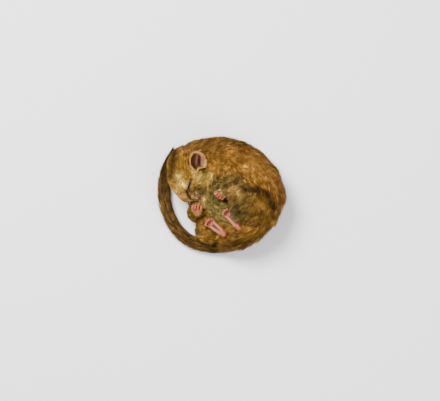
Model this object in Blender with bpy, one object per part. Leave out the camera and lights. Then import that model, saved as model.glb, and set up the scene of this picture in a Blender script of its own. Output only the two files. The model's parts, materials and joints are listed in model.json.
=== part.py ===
"""A hazel dormouse (Muscardinus avellanarius) asleep, curled up on its right side, at life size.

The animal lies flat on the floor with its left side up. Seen from above, its back makes the
right of a ring, the head closes the ring at the upper left, the feet meet in the middle, and
the bushy tail runs round the bottom and the left. +Z is up, and the origin is at the bottom
centre of the whole animal. The surfaces are those of the coat's outer tips.

Sizes are in millimetres up to the point where a mesh is made, which is in metres.
"""

import math
import random

import bmesh
import bpy
from mathutils import Matrix, Vector
from mathutils.bvhtree import BVHTree

MM = 0.001
GAP = 0.3  # between nodes that touch
SEED = 7

# The ring of the trunk, seen from above. Each station is the angle on the ring in degrees, the
# radius of the back's outline, half the depth from back to belly, half the width and the height.
RING_CENTRE = Vector((3.2, -0.5, 0))
TRUNK_STATIONS = (
    (124, 31.6, 10.6, 9.8, 12.0),
    (104, 29.4, 11.8, 12.4, 13.4),
    (82, 27.6, 12.0, 14.4, 14.4),
    (56, 26.8, 12.0, 15.4, 14.8),
    (28, 27.2, 12.2, 15.8, 15.0),
    (0, 28.2, 12.8, 16.0, 15.1),
    (-26, 27.2, 12.6, 16.0, 15.1),
    (-50, 26.9, 11.0, 14.6, 14.0),
    (-72, 27.6, 8.2, 11.4, 11.4),
    (-88, 28.0, 5.4, 7.0, 8.0),
)
THROAT = ((-3.0, 4.0, 12.0), (8.0, 7.5, 9.2))
BELLY = ((1.0, -8.5, 10.0), (9.5, 9.0, 8.4))
NAPE = ((-13.4, 16.6, 12.0), (9.4, 9.4, 9.0))
# Where the trunk is parted, as angles on the ring from each part to the next.
TRUNK_PARTS = (
    ("neck", 152, 104),
    ("chest", 104, 42),
    ("loin", 42, -22),
    ("rump", -22, -102),
    ("belly", -102, -208),
)

# The head has its own frame: ahead to the nose, up to the crown, and out to its left side.
HEAD_CENTRE = Vector((-15.8, 12.6, 12.6))
HEAD_TURN = math.radians(8.5)  # of the nose, from straight down the page towards the tail
HEAD_ROLL = math.radians(20)  # of the crown, up from the floor
AHEAD = Vector((-math.sin(HEAD_TURN), -math.cos(HEAD_TURN), 0))
CROWN = Vector(
    (-math.cos(HEAD_TURN) * math.cos(HEAD_ROLL), math.sin(HEAD_TURN) * math.cos(HEAD_ROLL), math.sin(HEAD_ROLL))
)
OUT = CROWN.cross(AHEAD)

# About how many triangles each surface has before its neighbours cut it, and after
TRIANGLES = {"head": 1700, "trunk": 1900, "arm": 420, "leg": 560, "forepaw": 560, "hindfoot": 680}
CUT_TRIANGLES = {
    "head": 2300, "neck": 1000, "chest": 640, "loin": 520, "rump": 1050, "belly": 560, "upper_arm": 300,
    "forearm": 420, "thigh": 520, "shank": 420, "eye": 400, "nose": 320, "tail": 1080,
}

# The middle of the tail, from inside the rump, down to the floor and round to beside the crown.
TAIL_LINE = (
    (13.5, -19.6, 10.6),
    (9.2, -23.3, 7.4),
    (1.4, -25.6, 4.8),
    (-6.6, -25.5, 3.5),
    (-13.5, -23.5, 3.3),
    (-19.2, -19.8, 3.3),
    (-23.6, -14.4, 3.3),
    (-26.8, -7.4, 3.3),
    (-28.2, 0.4, 3.3),
    (-27.9, 7.6, 3.4),
    (-26.6, 13.0, 3.5),
    (-24.9, 17.0, 3.8),
)
TAIL_LENGTHS = ("tail_root", "tail_fore", "tail_middle", "tail_hind", "tail_tip")
TAIL_CORE = 1.6
TAIL_COAT = 3.4  # radius of the coat's tips round the tail's centre line
LOCK_LENGTH = 8.0
LOCK_WIDTH = 2.5
LOCK_THICKNESS = 1.7
LOCK_ROWS = 16
LOCKS_ROUND = 8

COAT = (0.46, 0.25, 0.07)
BELLY_COAT = (0.42, 0.34, 0.14)
TAIL_COLOUR = (0.28, 0.17, 0.06)
BARE_SKIN = (0.72, 0.42, 0.35)
EAR_SKIN = (0.55, 0.37, 0.26)
LIDS = (0.30, 0.20, 0.14)


# Tools for making flesh


def clear_scene():
    for obj in list(bpy.data.objects):
        bpy.data.objects.remove(obj)


def ball_points(subdivisions):
    bm = bmesh.new()
    bmesh.ops.create_icosphere(bm, subdivisions=subdivisions, radius=1)
    points = [vert.co.copy() for vert in bm.verts]
    bm.free()
    return points


BALL = ball_points(3)
SMALL_BALL = ball_points(2)


def mass(centre, radii, ahead=(1, 0, 0), up=(0, 0, 1), ball=BALL):
    """Points of one rounded mass, with its first radius along ahead and its third along up."""
    radii = Vector((radii,) * 3) if isinstance(radii, (int, float)) else Vector(radii)
    first = Vector(ahead).normalized()
    second = Vector(up).cross(first).normalized()
    turn = Matrix((first, second, first.cross(second))).transposed()
    return [Vector(centre) + turn @ (radii * point) for point in ball]


def skin_over(bm, masses):
    """Stretches a convex skin over each two masses that follow one another."""
    pairs = list(zip(masses, masses[1:])) or [(masses[0], [])]
    for first, second in pairs:
        verts = [bm.verts.new(point * MM) for point in first + second]
        bmesh.ops.convex_hull(bm, input=verts)
        inside = [vert for vert in verts if vert.is_valid and not vert.link_faces]
        bmesh.ops.delete(bm, geom=inside, context="VERTS")


def object_of(name, bm):
    mesh = bpy.data.meshes.new(name)
    bm.to_mesh(mesh)
    bm.free()
    obj = bpy.data.objects.new(name, mesh)
    bpy.context.scene.collection.objects.link(obj)
    return obj


def settle(obj):
    """Applies the object's modifiers."""
    bpy.context.view_layer.update()
    shown = obj.evaluated_get(bpy.context.evaluated_depsgraph_get())
    mesh = bpy.data.meshes.new_from_object(shown)
    obj.modifiers.clear()
    obj.data = mesh


def triangle_count(obj):
    return sum(len(face.vertices) - 2 for face in obj.data.polygons)


def thin_out(obj, triangles):
    """Brings the mesh down to about that many triangles."""
    decimate = obj.modifiers.new("Decimate", "DECIMATE")
    decimate.ratio = min(1.0, triangles / triangle_count(obj))
    decimate.use_collapse_triangulate = True
    settle(obj)


def fused(name, chains, voxel, smoothing, triangles):
    """One smooth closed skin over all the chains of masses."""
    bm = bmesh.new()
    for masses in chains:
        skin_over(bm, masses)
    obj = object_of(name, bm)
    remesh = obj.modifiers.new("Remesh", "REMESH")
    remesh.mode = "VOXEL"
    remesh.voxel_size = voxel * MM
    smooth = obj.modifiers.new("Smooth", "SMOOTH")
    smooth.iterations = smoothing
    settle(obj)
    keep_largest(obj)
    thin_out(obj, triangles)
    return obj


def islands(bm):
    """The separate surfaces of a mesh, as lists of faces."""
    left = set(bm.faces)
    found = []
    while left:
        front = [left.pop()]
        island = list(front)
        while front:
            face = front.pop()
            for edge in face.edges:
                for other in edge.link_faces:
                    if other in left:
                        left.remove(other)
                        front.append(other)
                        island.append(other)
        found.append(island)
    return found


def close_up(obj):
    """Fills any small hole that thinning has left."""
    bm = bmesh.new()
    bm.from_mesh(obj.data)
    rims = [edge for edge in bm.edges if len(edge.link_faces) == 1]
    if rims:
        bmesh.ops.holes_fill(bm, edges=rims, sides=0)
        bmesh.ops.triangulate(bm, faces=bm.faces)
        bm.to_mesh(obj.data)
    bm.free()


def keep_largest(obj):
    """Drops every surface but the one that covers most."""
    bm = bmesh.new()
    bm.from_mesh(obj.data)
    found = sorted(islands(bm), key=lambda island: sum(face.calc_area() for face in island))
    scraps = [face for island in found[:-1] for face in island]
    bmesh.ops.delete(bm, geom=scraps, context="FACES")
    bm.to_mesh(obj.data)
    bm.free()


def copy_of(obj, name):
    twin = bpy.data.objects.new(name, obj.data.copy())
    bpy.context.scene.collection.objects.link(twin)
    return twin


def swollen(obj, by=GAP):
    """A copy that stands proud of the object all over, to cut a neighbour clear of it."""
    cutter = copy_of(obj, obj.name + "_room")
    displace = cutter.modifiers.new("Displace", "DISPLACE")
    displace.strength = by * MM
    displace.mid_level = 0
    remesh = cutter.modifiers.new("Remesh", "REMESH")
    remesh.mode = "VOXEL"
    remesh.voxel_size = max(0.2 * MM, max(obj.dimensions) / 60)
    triangles = triangle_count(obj)
    settle(cutter)
    keep_largest(cutter)
    thin_out(cutter, triangles * 0.6)
    return cutter


def boolean(obj, operation, other=None, collection=None, solver="EXACT"):
    modifier = obj.modifiers.new("Boolean", "BOOLEAN")
    modifier.operation = operation
    modifier.solver = solver
    if collection:
        modifier.operand_type = "COLLECTION"
        modifier.collection = collection
    else:
        modifier.object = other
    settle(obj)


def tree_of(obj):
    bm = bmesh.new()
    bm.from_mesh(obj.data)
    tree = BVHTree.FromBMesh(bm)
    bm.free()
    return tree


def cut_clear(obj, neighbours, gap=GAP):
    """Cuts the object clear of each neighbour that it meets."""
    for neighbour in neighbours:
        cutter = swollen(neighbour, gap)
        if tree_of(obj).overlap(tree_of(cutter)):
            boolean(obj, "DIFFERENCE", cutter)
            keep_largest(obj)
        bpy.data.objects.remove(cutter)


def half_space(point, normal):
    """A large block that fills the side of the plane that the normal points to."""
    reach = 200
    bm = bmesh.new()
    place = Matrix.Translation(Vector(point) * MM) @ Vector(normal).to_track_quat("Z", "Y").to_matrix().to_4x4()
    place = place @ Matrix.Translation((0, 0, reach / 2 * MM))
    bmesh.ops.create_cube(bm, size=reach * MM, matrix=place)
    return object_of("half_space", bm)


def trim(obj, point, normal):
    """Takes away what lies beyond the plane."""
    block = half_space(point, normal)
    boolean(obj, "DIFFERENCE", block)
    bpy.data.objects.remove(block)
    keep_largest(obj)


def part_limb(obj, names, cuts):
    """Parts a limb into its named lengths, root first, with a thin cut across at each joint."""
    for index, name in enumerate(names):
        length = copy_of(obj, name)
        if index > 0:
            point, normal = cuts[index - 1]
            trim(length, Vector(point) + Vector(normal).normalized() * GAP / 2, -Vector(normal))
        if index < len(cuts):
            point, normal = cuts[index]
            trim(length, Vector(point) - Vector(normal).normalized() * GAP / 2, normal)
    bpy.data.objects.remove(obj)


# Head


def head_point(ahead, up, out):
    return HEAD_CENTRE + AHEAD * ahead + CROWN * up + OUT * out


def head_mass(place, radii):
    """A mass in the head's own frame, whose radii run ahead, out to the side and up."""
    return mass(head_point(*place), radii, AHEAD, CROWN)


def make_head():
    braincase = head_mass((-0.6, 0.4, 0), (11.0, 10.0, 10.6))
    forehead = head_mass((5.5, 1.4, 0), (7.5, 8.6, 8.4))
    brow = head_mass((9.8, 0.5, 0), (5.0, 6.4, 6.7))
    bridge = head_mass((13.6, -0.8, 0), (3.0, 3.5, 4.3))
    tip = head_mass((15.6, -1.9, 0), (1.8, 2.0, 2.5))
    chains = [[braincase, forehead, brow, bridge, tip]]
    jaw_back = head_mass((1.5, -5.0, 0), (6.5, 7.6, 5.6))
    chin = head_mass((11.0, -6.6, 0), (2.2, 2.4, 1.6))
    chains.append([jaw_back, chin])
    for side in (-1, 1):
        cheek = head_mass((3.4, -3.2, 5.2 * side), (6.6, 4.6, 6.4))
        pad_back = head_mass((9.0, -3.4, 3.6 * side), (3.3, 2.8, 3.6))
        pad = head_mass((12.8, -4.2, 2.6 * side), (2.6, 2.2, 2.4))
        chains.append([cheek, pad_back, pad])
    return fused("head", chains, voxel=0.4, smoothing=4, triangles=TRIANGLES["head"])


def surface_point(tree, origin, direction):
    """Where a ray from inside meets the surface, and the surface's direction there."""
    found, normal, _, _ = tree.ray_cast(Vector(origin) * MM, Vector(direction))
    return found / MM, normal


def groove(obj, points, radius):
    """Cuts a groove of that half width along points on the surface."""
    bm = bmesh.new()
    skin_over(bm, [mass(point, radius, ball=SMALL_BALL) for point in points])
    tool = object_of("groove", bm)
    remesh = tool.modifiers.new("Remesh", "REMESH")
    remesh.mode = "VOXEL"
    remesh.voxel_size = radius / 3 * MM
    settle(tool)
    thin_out(tool, 24 * len(points))
    boolean(obj, "DIFFERENCE", tool)
    bpy.data.objects.remove(tool)
    keep_largest(obj)


def cut_mouth(head):
    """The mouth runs round under the muzzle, from one corner below the eye to the other."""
    tree = tree_of(head)
    points = []
    for degrees in range(-75, 76, 15):
        angle = math.radians(degrees)
        direction = AHEAD * math.cos(angle) + OUT * math.sin(angle)
        origin = head_point(9.0, -5.5 + 0.6 * abs(degrees) / 75, 0)
        points.append(surface_point(tree, origin, direction)[0])
    groove(head, points, 0.32)


def make_nose():
    """The bare nose, with a nostril on each side and the cleft that runs down to the lip."""
    pad = head_mass((17.1, -2.5, 0), (0.9, 1.35, 1.15))
    cleft = head_mass((16.6, -4.1, 0), (0.5, 0.45, 0.8))
    nose = fused("nose", [[pad, cleft]], voxel=0.12, smoothing=3, triangles=190)
    for side in (-1, 1):
        hole = [head_point(17.9, -2.4, 0.8 * side), head_point(17.4, -2.5, 1.6 * side)]
        groove(nose, hole, 0.3)
    return nose


EYE_PLACE = (8.2, 1.0)  # ahead of and above the head's centre
EYE_RADII = (3.1, 2.4, 1.8)


def make_eye(name, head, side):
    """A closed eye: the two lids over the ball, and the line where they meet."""
    tree = tree_of(head)
    centre, normal = surface_point(tree, head_point(*EYE_PLACE, 0), OUT * side)
    slant = AHEAD + CROWN * 0.2
    along = (slant - normal * slant.dot(normal)).normalized()
    lids = mass(centre - normal * 0.7, EYE_RADII, along, normal)
    eye = fused(name, [[lids]], voxel=0.2, smoothing=2, triangles=150)
    lid_tree = tree_of(eye)
    across = normal.cross(along) * side
    line = []
    for step in range(-4, 5):
        share = step / 4
        bow = 0.3 * (1 - share * share)
        inside = centre - normal * 0.9 + along * EYE_RADII[0] * 0.84 * share + across * bow
        line.append(surface_point(lid_tree, inside, normal)[0])
    groove(eye, line, 0.28)
    return eye


EAR_LENGTH = 9.8
EAR_WIDTH = 8.4
EAR_DEPTH = 2.4
EAR_WALL = 0.6


def make_ear(name, side):
    """A cupped ear, narrow and notched at its root and broad at its rim, laid back on the head."""
    root = head_point(1.7, -0.9, 9.7 * side)
    along = (AHEAD * -0.968 + CROWN * 0.22 + OUT * 0.12 * side).normalized()
    face = OUT * side + CROWN * 0.26 + AHEAD * 0.12
    face = (face - along * face.dot(along)).normalized()
    across = face.cross(along)
    bm = bmesh.new()
    bmesh.ops.create_uvsphere(bm, u_segments=20, v_segments=10, radius=1)
    geom = bm.verts[:] + bm.edges[:] + bm.faces[:]
    bmesh.ops.bisect_plane(bm, geom=geom, dist=1e-6, plane_co=(0, 0, 0), plane_no=(0, 0, 1), clear_outer=True)
    for vert in bm.verts:
        reach, breadth, depth = vert.co
        breadth *= 0.84 + 0.20 * reach - 0.16 * reach * reach
        rim = 0.8 * (1 + depth) * (0.4 + 0.6 * abs(breadth))
        place = along * EAR_LENGTH / 2 * (1 + reach) + across * EAR_WIDTH / 2 * breadth
        vert.co = (root + place + face * (EAR_DEPTH * depth * (1 - 0.25 * reach) + rim)) * MM
    bmesh.ops.recalc_face_normals(bm, faces=bm.faces)
    cup = object_of(name, bm)
    if sum(face.dot(polygon.normal) for polygon in cup.data.polygons) > 0:
        cup.data.flip_normals()
    wall = cup.modifiers.new("Solidify", "SOLIDIFY")
    wall.thickness = EAR_WALL * MM
    wall.offset = 0
    settle(cup)
    plug = bmesh.new()
    skin_over(plug, [mass(root + along * 1.9 - face * 2.3, (2.4, 1.9, 1.5), along, face, SMALL_BALL)])
    stem = object_of("ear_stem", plug)
    boolean(cup, "UNION", stem)
    bpy.data.objects.remove(stem)
    keep_largest(cup)
    thin_out(cup, 420)
    return cup


# Paws


def digit(root, ahead, palm, length, radius, curl, claw):
    """One digit from its knuckle, bending towards the palm by curl degrees at each of its joints."""
    hinge = Vector(palm).cross(Vector(ahead)).normalized()
    point = Vector(root)
    heading = Vector(ahead).normalized()
    masses = [mass(point, radius * 1.1, ball=SMALL_BALL)]
    for share in (0.42, 0.33, 0.25):
        point = point + heading * length * share
        masses.append(mass(point, radius * (1.0 if share > 0.3 else 1.12), ball=SMALL_BALL))
        heading = Matrix.Rotation(-math.radians(curl), 3, hinge) @ heading
    claw_root = point + heading * radius * 0.4
    claw_tip = claw_root + (heading + Vector(palm) * 0.35).normalized() * claw
    nail = [mass(claw_root, 0.28, ball=SMALL_BALL), mass(claw_tip, 0.15, ball=SMALL_BALL)]
    return [masses, nail]


def make_forepaw(name, wrist, ahead, palm, curl):
    """A forepaw: a short palm with its pads, four digits that clasp, and the stub of the thumb."""
    ahead = Vector(ahead).normalized()
    palm = Vector(palm)
    palm = (palm - ahead * palm.dot(ahead)).normalized()
    side = palm.cross(ahead)
    wrist = Vector(wrist)
    knuckles = mass(wrist + ahead * 2.6, (1.5, 2.3, 1.2), ahead, palm)
    chains = [[mass(wrist, (1.5, 1.4, 1.3), ahead, palm), knuckles]]
    for index, spread in enumerate((-1.95, -0.65, 0.65, 1.95)):
        root = wrist + ahead * (3.5 - 0.09 * spread * spread) + side * spread
        heading = ahead + side * spread * 0.05
        chains += digit(root, heading, palm, 4.0 - 0.2 * abs(index - 1.4), 0.56, curl, 0.8)
    for spread in (-1.2, 0.0, 1.2):
        pad = wrist + ahead * (3.1 - 0.35 * abs(spread)) + side * spread + palm * 0.9
        chains.append([mass(pad, 0.62, ball=SMALL_BALL)])
    thumb = wrist + ahead * 1.4 - side * 1.8 + palm * 0.6
    tip = thumb + ahead * 0.9 - side * 0.25
    chains.append([mass(thumb, 0.58, ball=SMALL_BALL), mass(tip, 0.46, ball=SMALL_BALL)])
    return fused(name, chains, voxel=0.17, smoothing=2, triangles=TRIANGLES["forepaw"])


def make_hindfoot(name, heel, toes, palm, curl):
    """A hind foot: the round heel, the sole's two long folds, its pads, and five curled toes."""
    heel = Vector(heel)
    ahead = (Vector(toes) - heel).normalized()
    length = (Vector(toes) - heel).length
    palm = Vector(palm)
    palm = (palm - ahead * palm.dot(ahead)).normalized()
    side = palm.cross(ahead)
    arch = mass(heel + ahead * length * 0.55, (1.6, 1.5, 1.0), ahead, palm)
    chains = [[mass(heel, (1.7, 1.6, 1.5), ahead, palm), arch]]
    for edge in (-1, 1):
        start = heel + ahead * 1.0 + side * 0.75 * edge + palm * 0.4
        end = heel + ahead * length * 0.68 + side * 1.15 * edge + palm * 0.35
        chains.append([mass(start, 0.85), mass(end, 0.8)])
    ball_of_foot = heel + ahead * length * 0.72
    instep = mass(heel + ahead * length * 0.5, (1.2, 1.5, 0.9), ahead, palm)
    chains.append([instep, mass(ball_of_foot, (1.1, 2.1, 0.95), ahead, palm)])
    for index, spread in enumerate((-1.85, -0.9, 0.05, 1.0, 1.85)):
        root = ball_of_foot + ahead * (0.9 - 0.12 * spread * spread) + side * spread
        heading = ahead + side * spread * 0.05
        reach = 2.4 if index == 0 else 3.7 - 0.2 * abs(index - 2.5)
        chains += digit(root, heading, palm, reach, 0.48, curl, 0.75 if index else 0.3)
    for spread in (-1.25, 0.0, 1.25):
        pad = ball_of_foot + side * spread + palm * 0.7 - ahead * 0.15 * abs(spread)
        chains.append([mass(pad, 0.58, ball=SMALL_BALL)])
    return fused(name, chains, voxel=0.16, smoothing=2, triangles=TRIANGLES["hindfoot"])


# Limbs, as the coat shows them: each a chain of masses from its root in the trunk to its paw


def make_arm_left():
    shoulder = mass((3.6, 13.4, 22.4), (7.4, 7.2, 6.8))
    elbow = mass((9.4, 8.2, 25.0), (4.9, 4.9, 4.8))
    wrist = mass((2.2, 2.8, 24.6), (2.9, 2.9, 2.5))
    arm = fused("arm_left", [[shoulder, elbow], [elbow, wrist]], 0.45, 5, TRIANGLES["arm"])
    return arm, ((8.6, 7.6, 25.0), (-0.35, -0.94, 0.0))


def make_arm_right():
    shoulder = mass((-2.5, 4.0, 8.0), (6.4, 6.4, 6.2))
    elbow = mass((-12.0, -8.9, 7.0), (5.3, 5.3, 5.6))
    wrist = mass((-11.2, -8.6, 12.4), (3.2, 3.2, 2.4))
    arm = fused("arm_right", [[shoulder, elbow], [elbow, wrist]], 0.45, 5, TRIANGLES["arm"])
    return arm, ((-7.6, -3.2, 7.0), (-0.6, -0.8, 0.0))


def make_leg_left():
    haunch = mass((15.2, -6.4, 22.4), (10.2, 10.2, 10.6))
    knee = mass((8.0, 0.2, 25.0), (5.3, 5.3, 5.0))
    ankle = mass((8.9, -14.4, 23.8), (3.0, 3.0, 2.8))
    leg = fused("leg_left", [[haunch, knee], [knee, ankle], [haunch, ankle]], 0.45, 5, TRIANGLES["leg"])
    return leg, ((9.2, -11.2, 24.4), (-0.1, -0.98, 0.1))


def make_leg_right():
    haunch = mass((8.0, -15.5, 8.6), (8.6, 8.4, 8.2))
    thigh = mass((-5.2, -17.6, 8.2), (7.6, 7.2, 6.9))
    knee = mass((-5.6, -10.2, 6.2), (5.4, 5.4, 5.2))
    ankle = mass((1.6, -18.6, 13.6), (3.2, 3.2, 2.8))
    leg = fused("leg_right", [[haunch, thigh, knee], [knee, ankle]], 0.45, 5, TRIANGLES["leg"])
    return leg, ((-2.2, -14.2, 10.0), (0.64, -0.68, 0.36))


# Trunk


def ring_point(degrees, radius, height):
    angle = math.radians(degrees)
    return RING_CENTRE + Vector((math.cos(angle), math.sin(angle), 0)) * radius + Vector((0, 0, height))


def make_trunk():
    """Neck, chest, loin and rump bent into a ring, with the throat and the belly in its middle."""
    stations = []
    for degrees, outline, depth, width, height in TRUNK_STATIONS:
        outwards = ring_point(degrees, 1, 0) - RING_CENTRE
        centre = ring_point(degrees, outline - depth, height)
        stations.append(mass(centre, (depth, depth * 0.9, width), outwards))
    chains = [[mass(*NAPE)] + stations, [mass(*THROAT), stations[2]]]
    chains.append([mass(*THROAT), mass(*BELLY), stations[-3]])
    return fused("trunk", chains, voxel=0.6, smoothing=8, triangles=TRIANGLES["trunk"])


def part_trunk(trunk):
    """Parts the trunk into wedges round the ring's centre, with a thin cut between each two."""
    wedges = []
    for name, begin, end in TRUNK_PARTS:
        wedge = copy_of(trunk, name)
        for degrees, side in ((begin, 1), (end, -1)):
            normal = ring_point(degrees + 90 * side, 1, 0) - RING_CENTRE
            trim(wedge, RING_CENTRE - normal * GAP / 2, normal)
        wedges.append(wedge)
    bpy.data.objects.remove(trunk)
    return wedges


# Tail


def tail_point(share):
    """A point on the tail's middle line, from 0 at its root to 1 at its end, and straight on."""
    last = len(TAIL_LINE) - 1
    if share > 1:
        return tail_point(1) + (tail_point(1) - tail_point(0.99)).normalized() * (share - 1) * TAIL_LENGTH
    along = max(0, share) * last
    index = min(last - 1, int(along))
    before, start, end, after = (Vector(TAIL_LINE[min(last, max(0, index + i))]) for i in (-1, 0, 1, 2))
    t = along - index
    bend = (2 * before - 5 * start + 4 * end - after) * t * t + (3 * start - before - 3 * end + after) * t * t * t
    return start + ((end - before) * t + bend) / 2


def tail_heading(share):
    return (tail_point(share + 0.01) - tail_point(share - 0.01)).normalized()


def tail_girth(share):
    """How thick the tail is along its length, as a share of its thickest."""
    return (0.88 + 0.12 * min(1, share / 0.3)) * (1 - 0.42 * max(0, share - 0.72) / 0.28)


def make_tail_room():
    """The space that the tail's coat takes, which its neighbours are cut clear of."""
    masses = [mass(tail_point(i / 24), TAIL_COAT * 1.06 * tail_girth(i / 24)) for i in range(25)]
    return fused("tail_room", [masses], voxel=0.6, smoothing=2, triangles=600)


def swept(bm, rings):
    """A closed skin through rings that have the same number of points."""
    loops = [[bm.verts.new(point * MM) for point in ring] for ring in rings]
    count = len(loops[0])
    for first, second in zip(loops, loops[1:]):
        for i in range(count):
            bm.faces.new((first[i], first[(i + 1) % count], second[(i + 1) % count], second[i]))
    bm.faces.new(loops[0][::-1])
    bm.faces.new(loops[-1])
    bmesh.ops.recalc_face_normals(bm, faces=bm.faces)
    bmesh.ops.triangulate(bm, faces=bm.faces)


def tail_spoke(share, turn):
    """The direction straight out of the tail at that turn from the top."""
    heading = tail_heading(share)
    top = (Vector((0, 0, 1)) - heading * heading.z).normalized()
    return Matrix.Rotation(turn, 3, heading) @ top


def make_tail_core(name, begin, end):
    rings = []
    for step in range(9):
        share = begin + (end - begin) * step / 8
        radius = TAIL_CORE * tail_girth(share)
        rings.append([tail_point(share) + tail_spoke(share, i * math.pi / 5) * radius for i in range(10)])
    bm = bmesh.new()
    swept(bm, rings)
    return object_of(name, bm)


# How far along a lock, how far out between the core and the coat's tips, and how wide it is
LOCK_STATIONS = ((0.0, 0.0, 0.7), (0.32, 0.64, 1.0), (0.7, 0.93, 0.75), (1.0, 1.0, 0.16))


def make_lock(share, turn, dice, spread=1.0, reach=1.0):
    """A flat lock of the tail's coat, rooted in the core and lying along the tail to its tip."""
    length = LOCK_LENGTH * dice.uniform(0.85, 1.15) * reach
    lift = dice.uniform(0.9, 1.08) * spread
    roll = dice.uniform(-0.35, 0.35)
    sway = dice.uniform(-0.16, 0.16)
    rings = []
    for along, out, breadth in LOCK_STATIONS:
        here = share + along * length / TAIL_LENGTH
        heading = tail_heading(here)
        spoke = tail_spoke(here, turn + sway * along)
        across = Matrix.Rotation(roll, 3, heading) @ heading.cross(spoke)
        girth = tail_girth(min(1, here))
        radius = (TAIL_CORE * 0.55 + (TAIL_COAT - TAIL_CORE * 0.55) * out * lift) * girth
        middle = tail_point(here) + spoke * radius
        half = LOCK_WIDTH / 2 * breadth * (0.55 + 0.45 * girth)
        thick = LOCK_THICKNESS / 2 * (0.35 + 0.65 * breadth)
        up = across.cross(heading)
        rings.append([middle + across * half, middle + up * thick, middle - across * half])
    bm = bmesh.new()
    swept(bm, rings)
    return object_of("lock", bm)


TAIL_LENGTH = sum((tail_point((i + 1) / 200) - tail_point(i / 200)).length for i in range(200))


def make_tail(neighbours):
    """The tail in its five lengths, each its core with the coat's locks fused on."""
    dice = random.Random(SEED)
    lengths = []
    count = len(TAIL_LENGTHS)
    for index, name in enumerate(TAIL_LENGTHS):
        begin, end = index / count, (index + 1) / count
        tail = make_tail_core(name, begin, end)
        locks = bpy.data.collections.new("locks")
        rows = [row for row in range(-1, LOCK_ROWS) if begin - 0.1 < (row + 0.5) / LOCK_ROWS < end]
        for row in rows:
            for i in range(LOCKS_ROUND):
                turn = (i + 0.5 * (row % 2)) * 2 * math.pi / LOCKS_ROUND + dice.uniform(-0.14, 0.14)
                share = (row + 0.5 + dice.uniform(-0.2, 0.2)) / LOCK_ROWS
                if tail_spoke(share, turn).z > -0.8:
                    locks.objects.link(make_lock(share, turn, dice))
        if index == count - 1:
            for i in range(7):
                locks.objects.link(make_lock(0.97, i * 2 * math.pi / 7, dice, 0.6, 0.75))
        boolean(tail, "UNION", collection=locks)
        for lock in list(locks.objects):
            bpy.data.objects.remove(lock)
        bpy.data.collections.remove(locks)
        keep_largest(tail)
        if index > 0:
            trim(tail, tail_point(begin) + tail_heading(begin) * GAP / 2, -tail_heading(begin))
        if index < count - 1:
            trim(tail, tail_point(end) - tail_heading(end) * GAP / 2, tail_heading(end))
        cut_clear(tail, neighbours, GAP * 1.6)
        lengths.append(tail)
    return lengths


# The whole animal


def paint(obj, colour, roughness):
    material = bpy.data.materials.new(obj.name)
    material.use_nodes = True
    shader = material.node_tree.nodes["Principled BSDF"]
    shader.inputs["Base Color"].default_value = (*colour, 1)
    shader.inputs["Roughness"].default_value = roughness
    shader.inputs["Metallic"].default_value = 0
    obj.data.materials.clear()
    obj.data.materials.append(material)


def stand_on_floor(objects):
    """Brings the whole animal's bounding box over the origin, seen from above."""
    corners = [vert.co for obj in objects for vert in obj.data.vertices]
    low = Vector([min(corner[axis] for corner in corners) for axis in range(3)])
    high = Vector([max(corner[axis] for corner in corners) for axis in range(3)])
    shift = -(low + high) / 2
    shift.z = -low.z
    for obj in objects:
        obj.data.transform(Matrix.Translation(shift))


def build():
    clear_scene()
    head = make_head()
    eyes = [make_eye("eye_left", head, 1), make_eye("eye_right", head, -1)]
    nose = make_nose()
    ears = [make_ear("ear_left", 1), make_ear("ear_right", -1)]
    paws = [
        make_forepaw("forepaw_left", (2.0, 2.4, 24.4), (-0.6, -0.72, -0.2), (-0.45, 0.0, -0.9), 68),
        make_forepaw("forepaw_right", (-11.0, -9.6, 12.8), (-0.2, 0.5, 0.8), (0.2, 0.8, -0.5), 84),
        make_hindfoot("hindfoot_left", (8.2, -15.8, 25.6), (2.2, -8.0, 22.0), (-0.1, -0.1, 1), 58),
        make_hindfoot("hindfoot_right", (1.0, -19.2, 17.0), (-6.6, -13.0, 15.2), (-0.1, -0.1, 1), 58),
    ]
    details = eyes + [nose] + ears + paws
    trunk = make_trunk()
    tail_room = make_tail_room()

    cut_clear(head, details + [tail_room])
    cut_mouth(head)
    limbs = []
    flesh = [head]
    for make_limb, names in (
        (make_arm_left, ("upper_arm_left", "forearm_left")),
        (make_leg_left, ("thigh_left", "shank_left")),
        (make_arm_right, ("upper_arm_right", "forearm_right")),
        (make_leg_right, ("thigh_right", "shank_right")),
    ):
        limb, joint = make_limb()
        cut_clear(limb, details + [tail_room] + flesh)
        flesh.append(limb)
        limbs.append((limb, names, joint))
    wedges = []
    for wedge in part_trunk(trunk):
        cut_clear(wedge, details + [tail_room] + flesh)
        wedges.append(wedge)
    bpy.data.objects.remove(tail_room)
    for limb, names, joint in limbs:
        part_limb(limb, names, [joint])
    body = [bpy.data.objects[name] for _, names, _ in limbs for name in names]
    tail = make_tail([head] + details + body + wedges)
    everything = [head] + body + wedges + tail + details
    for obj in everything:
        for kind, triangles in CUT_TRIANGLES.items():
            if obj.name.startswith(kind) and triangle_count(obj) > triangles:
                thin_out(obj, triangles)
                close_up(obj)
        if min(vert.co.z for vert in obj.data.vertices) < 0:
            trim(obj, (0, 0, 0), (0, 0, -1))
    for obj in [head] + body + wedges:
        paint(obj, BELLY_COAT if obj.name == "belly" else COAT, 0.9)
    for obj in tail:
        paint(obj, TAIL_COLOUR, 0.9)
    for obj in paws + [nose]:
        paint(obj, BARE_SKIN, 0.6)
    for obj in ears:
        paint(obj, EAR_SKIN, 0.7)
    for obj in eyes:
        paint(obj, LIDS, 0.6)
    stand_on_floor(everything)


build()
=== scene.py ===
"""A hazel dormouse asleep, dressed over its frame: skin, coat, ears, eyes, nose, paws and whiskers."""

import json
import math

import bmesh
import bpy
import numpy as np
from mathutils import Matrix, Vector
from mathutils.bvhtree import BVHTree
from mathutils.kdtree import KDTree

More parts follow.
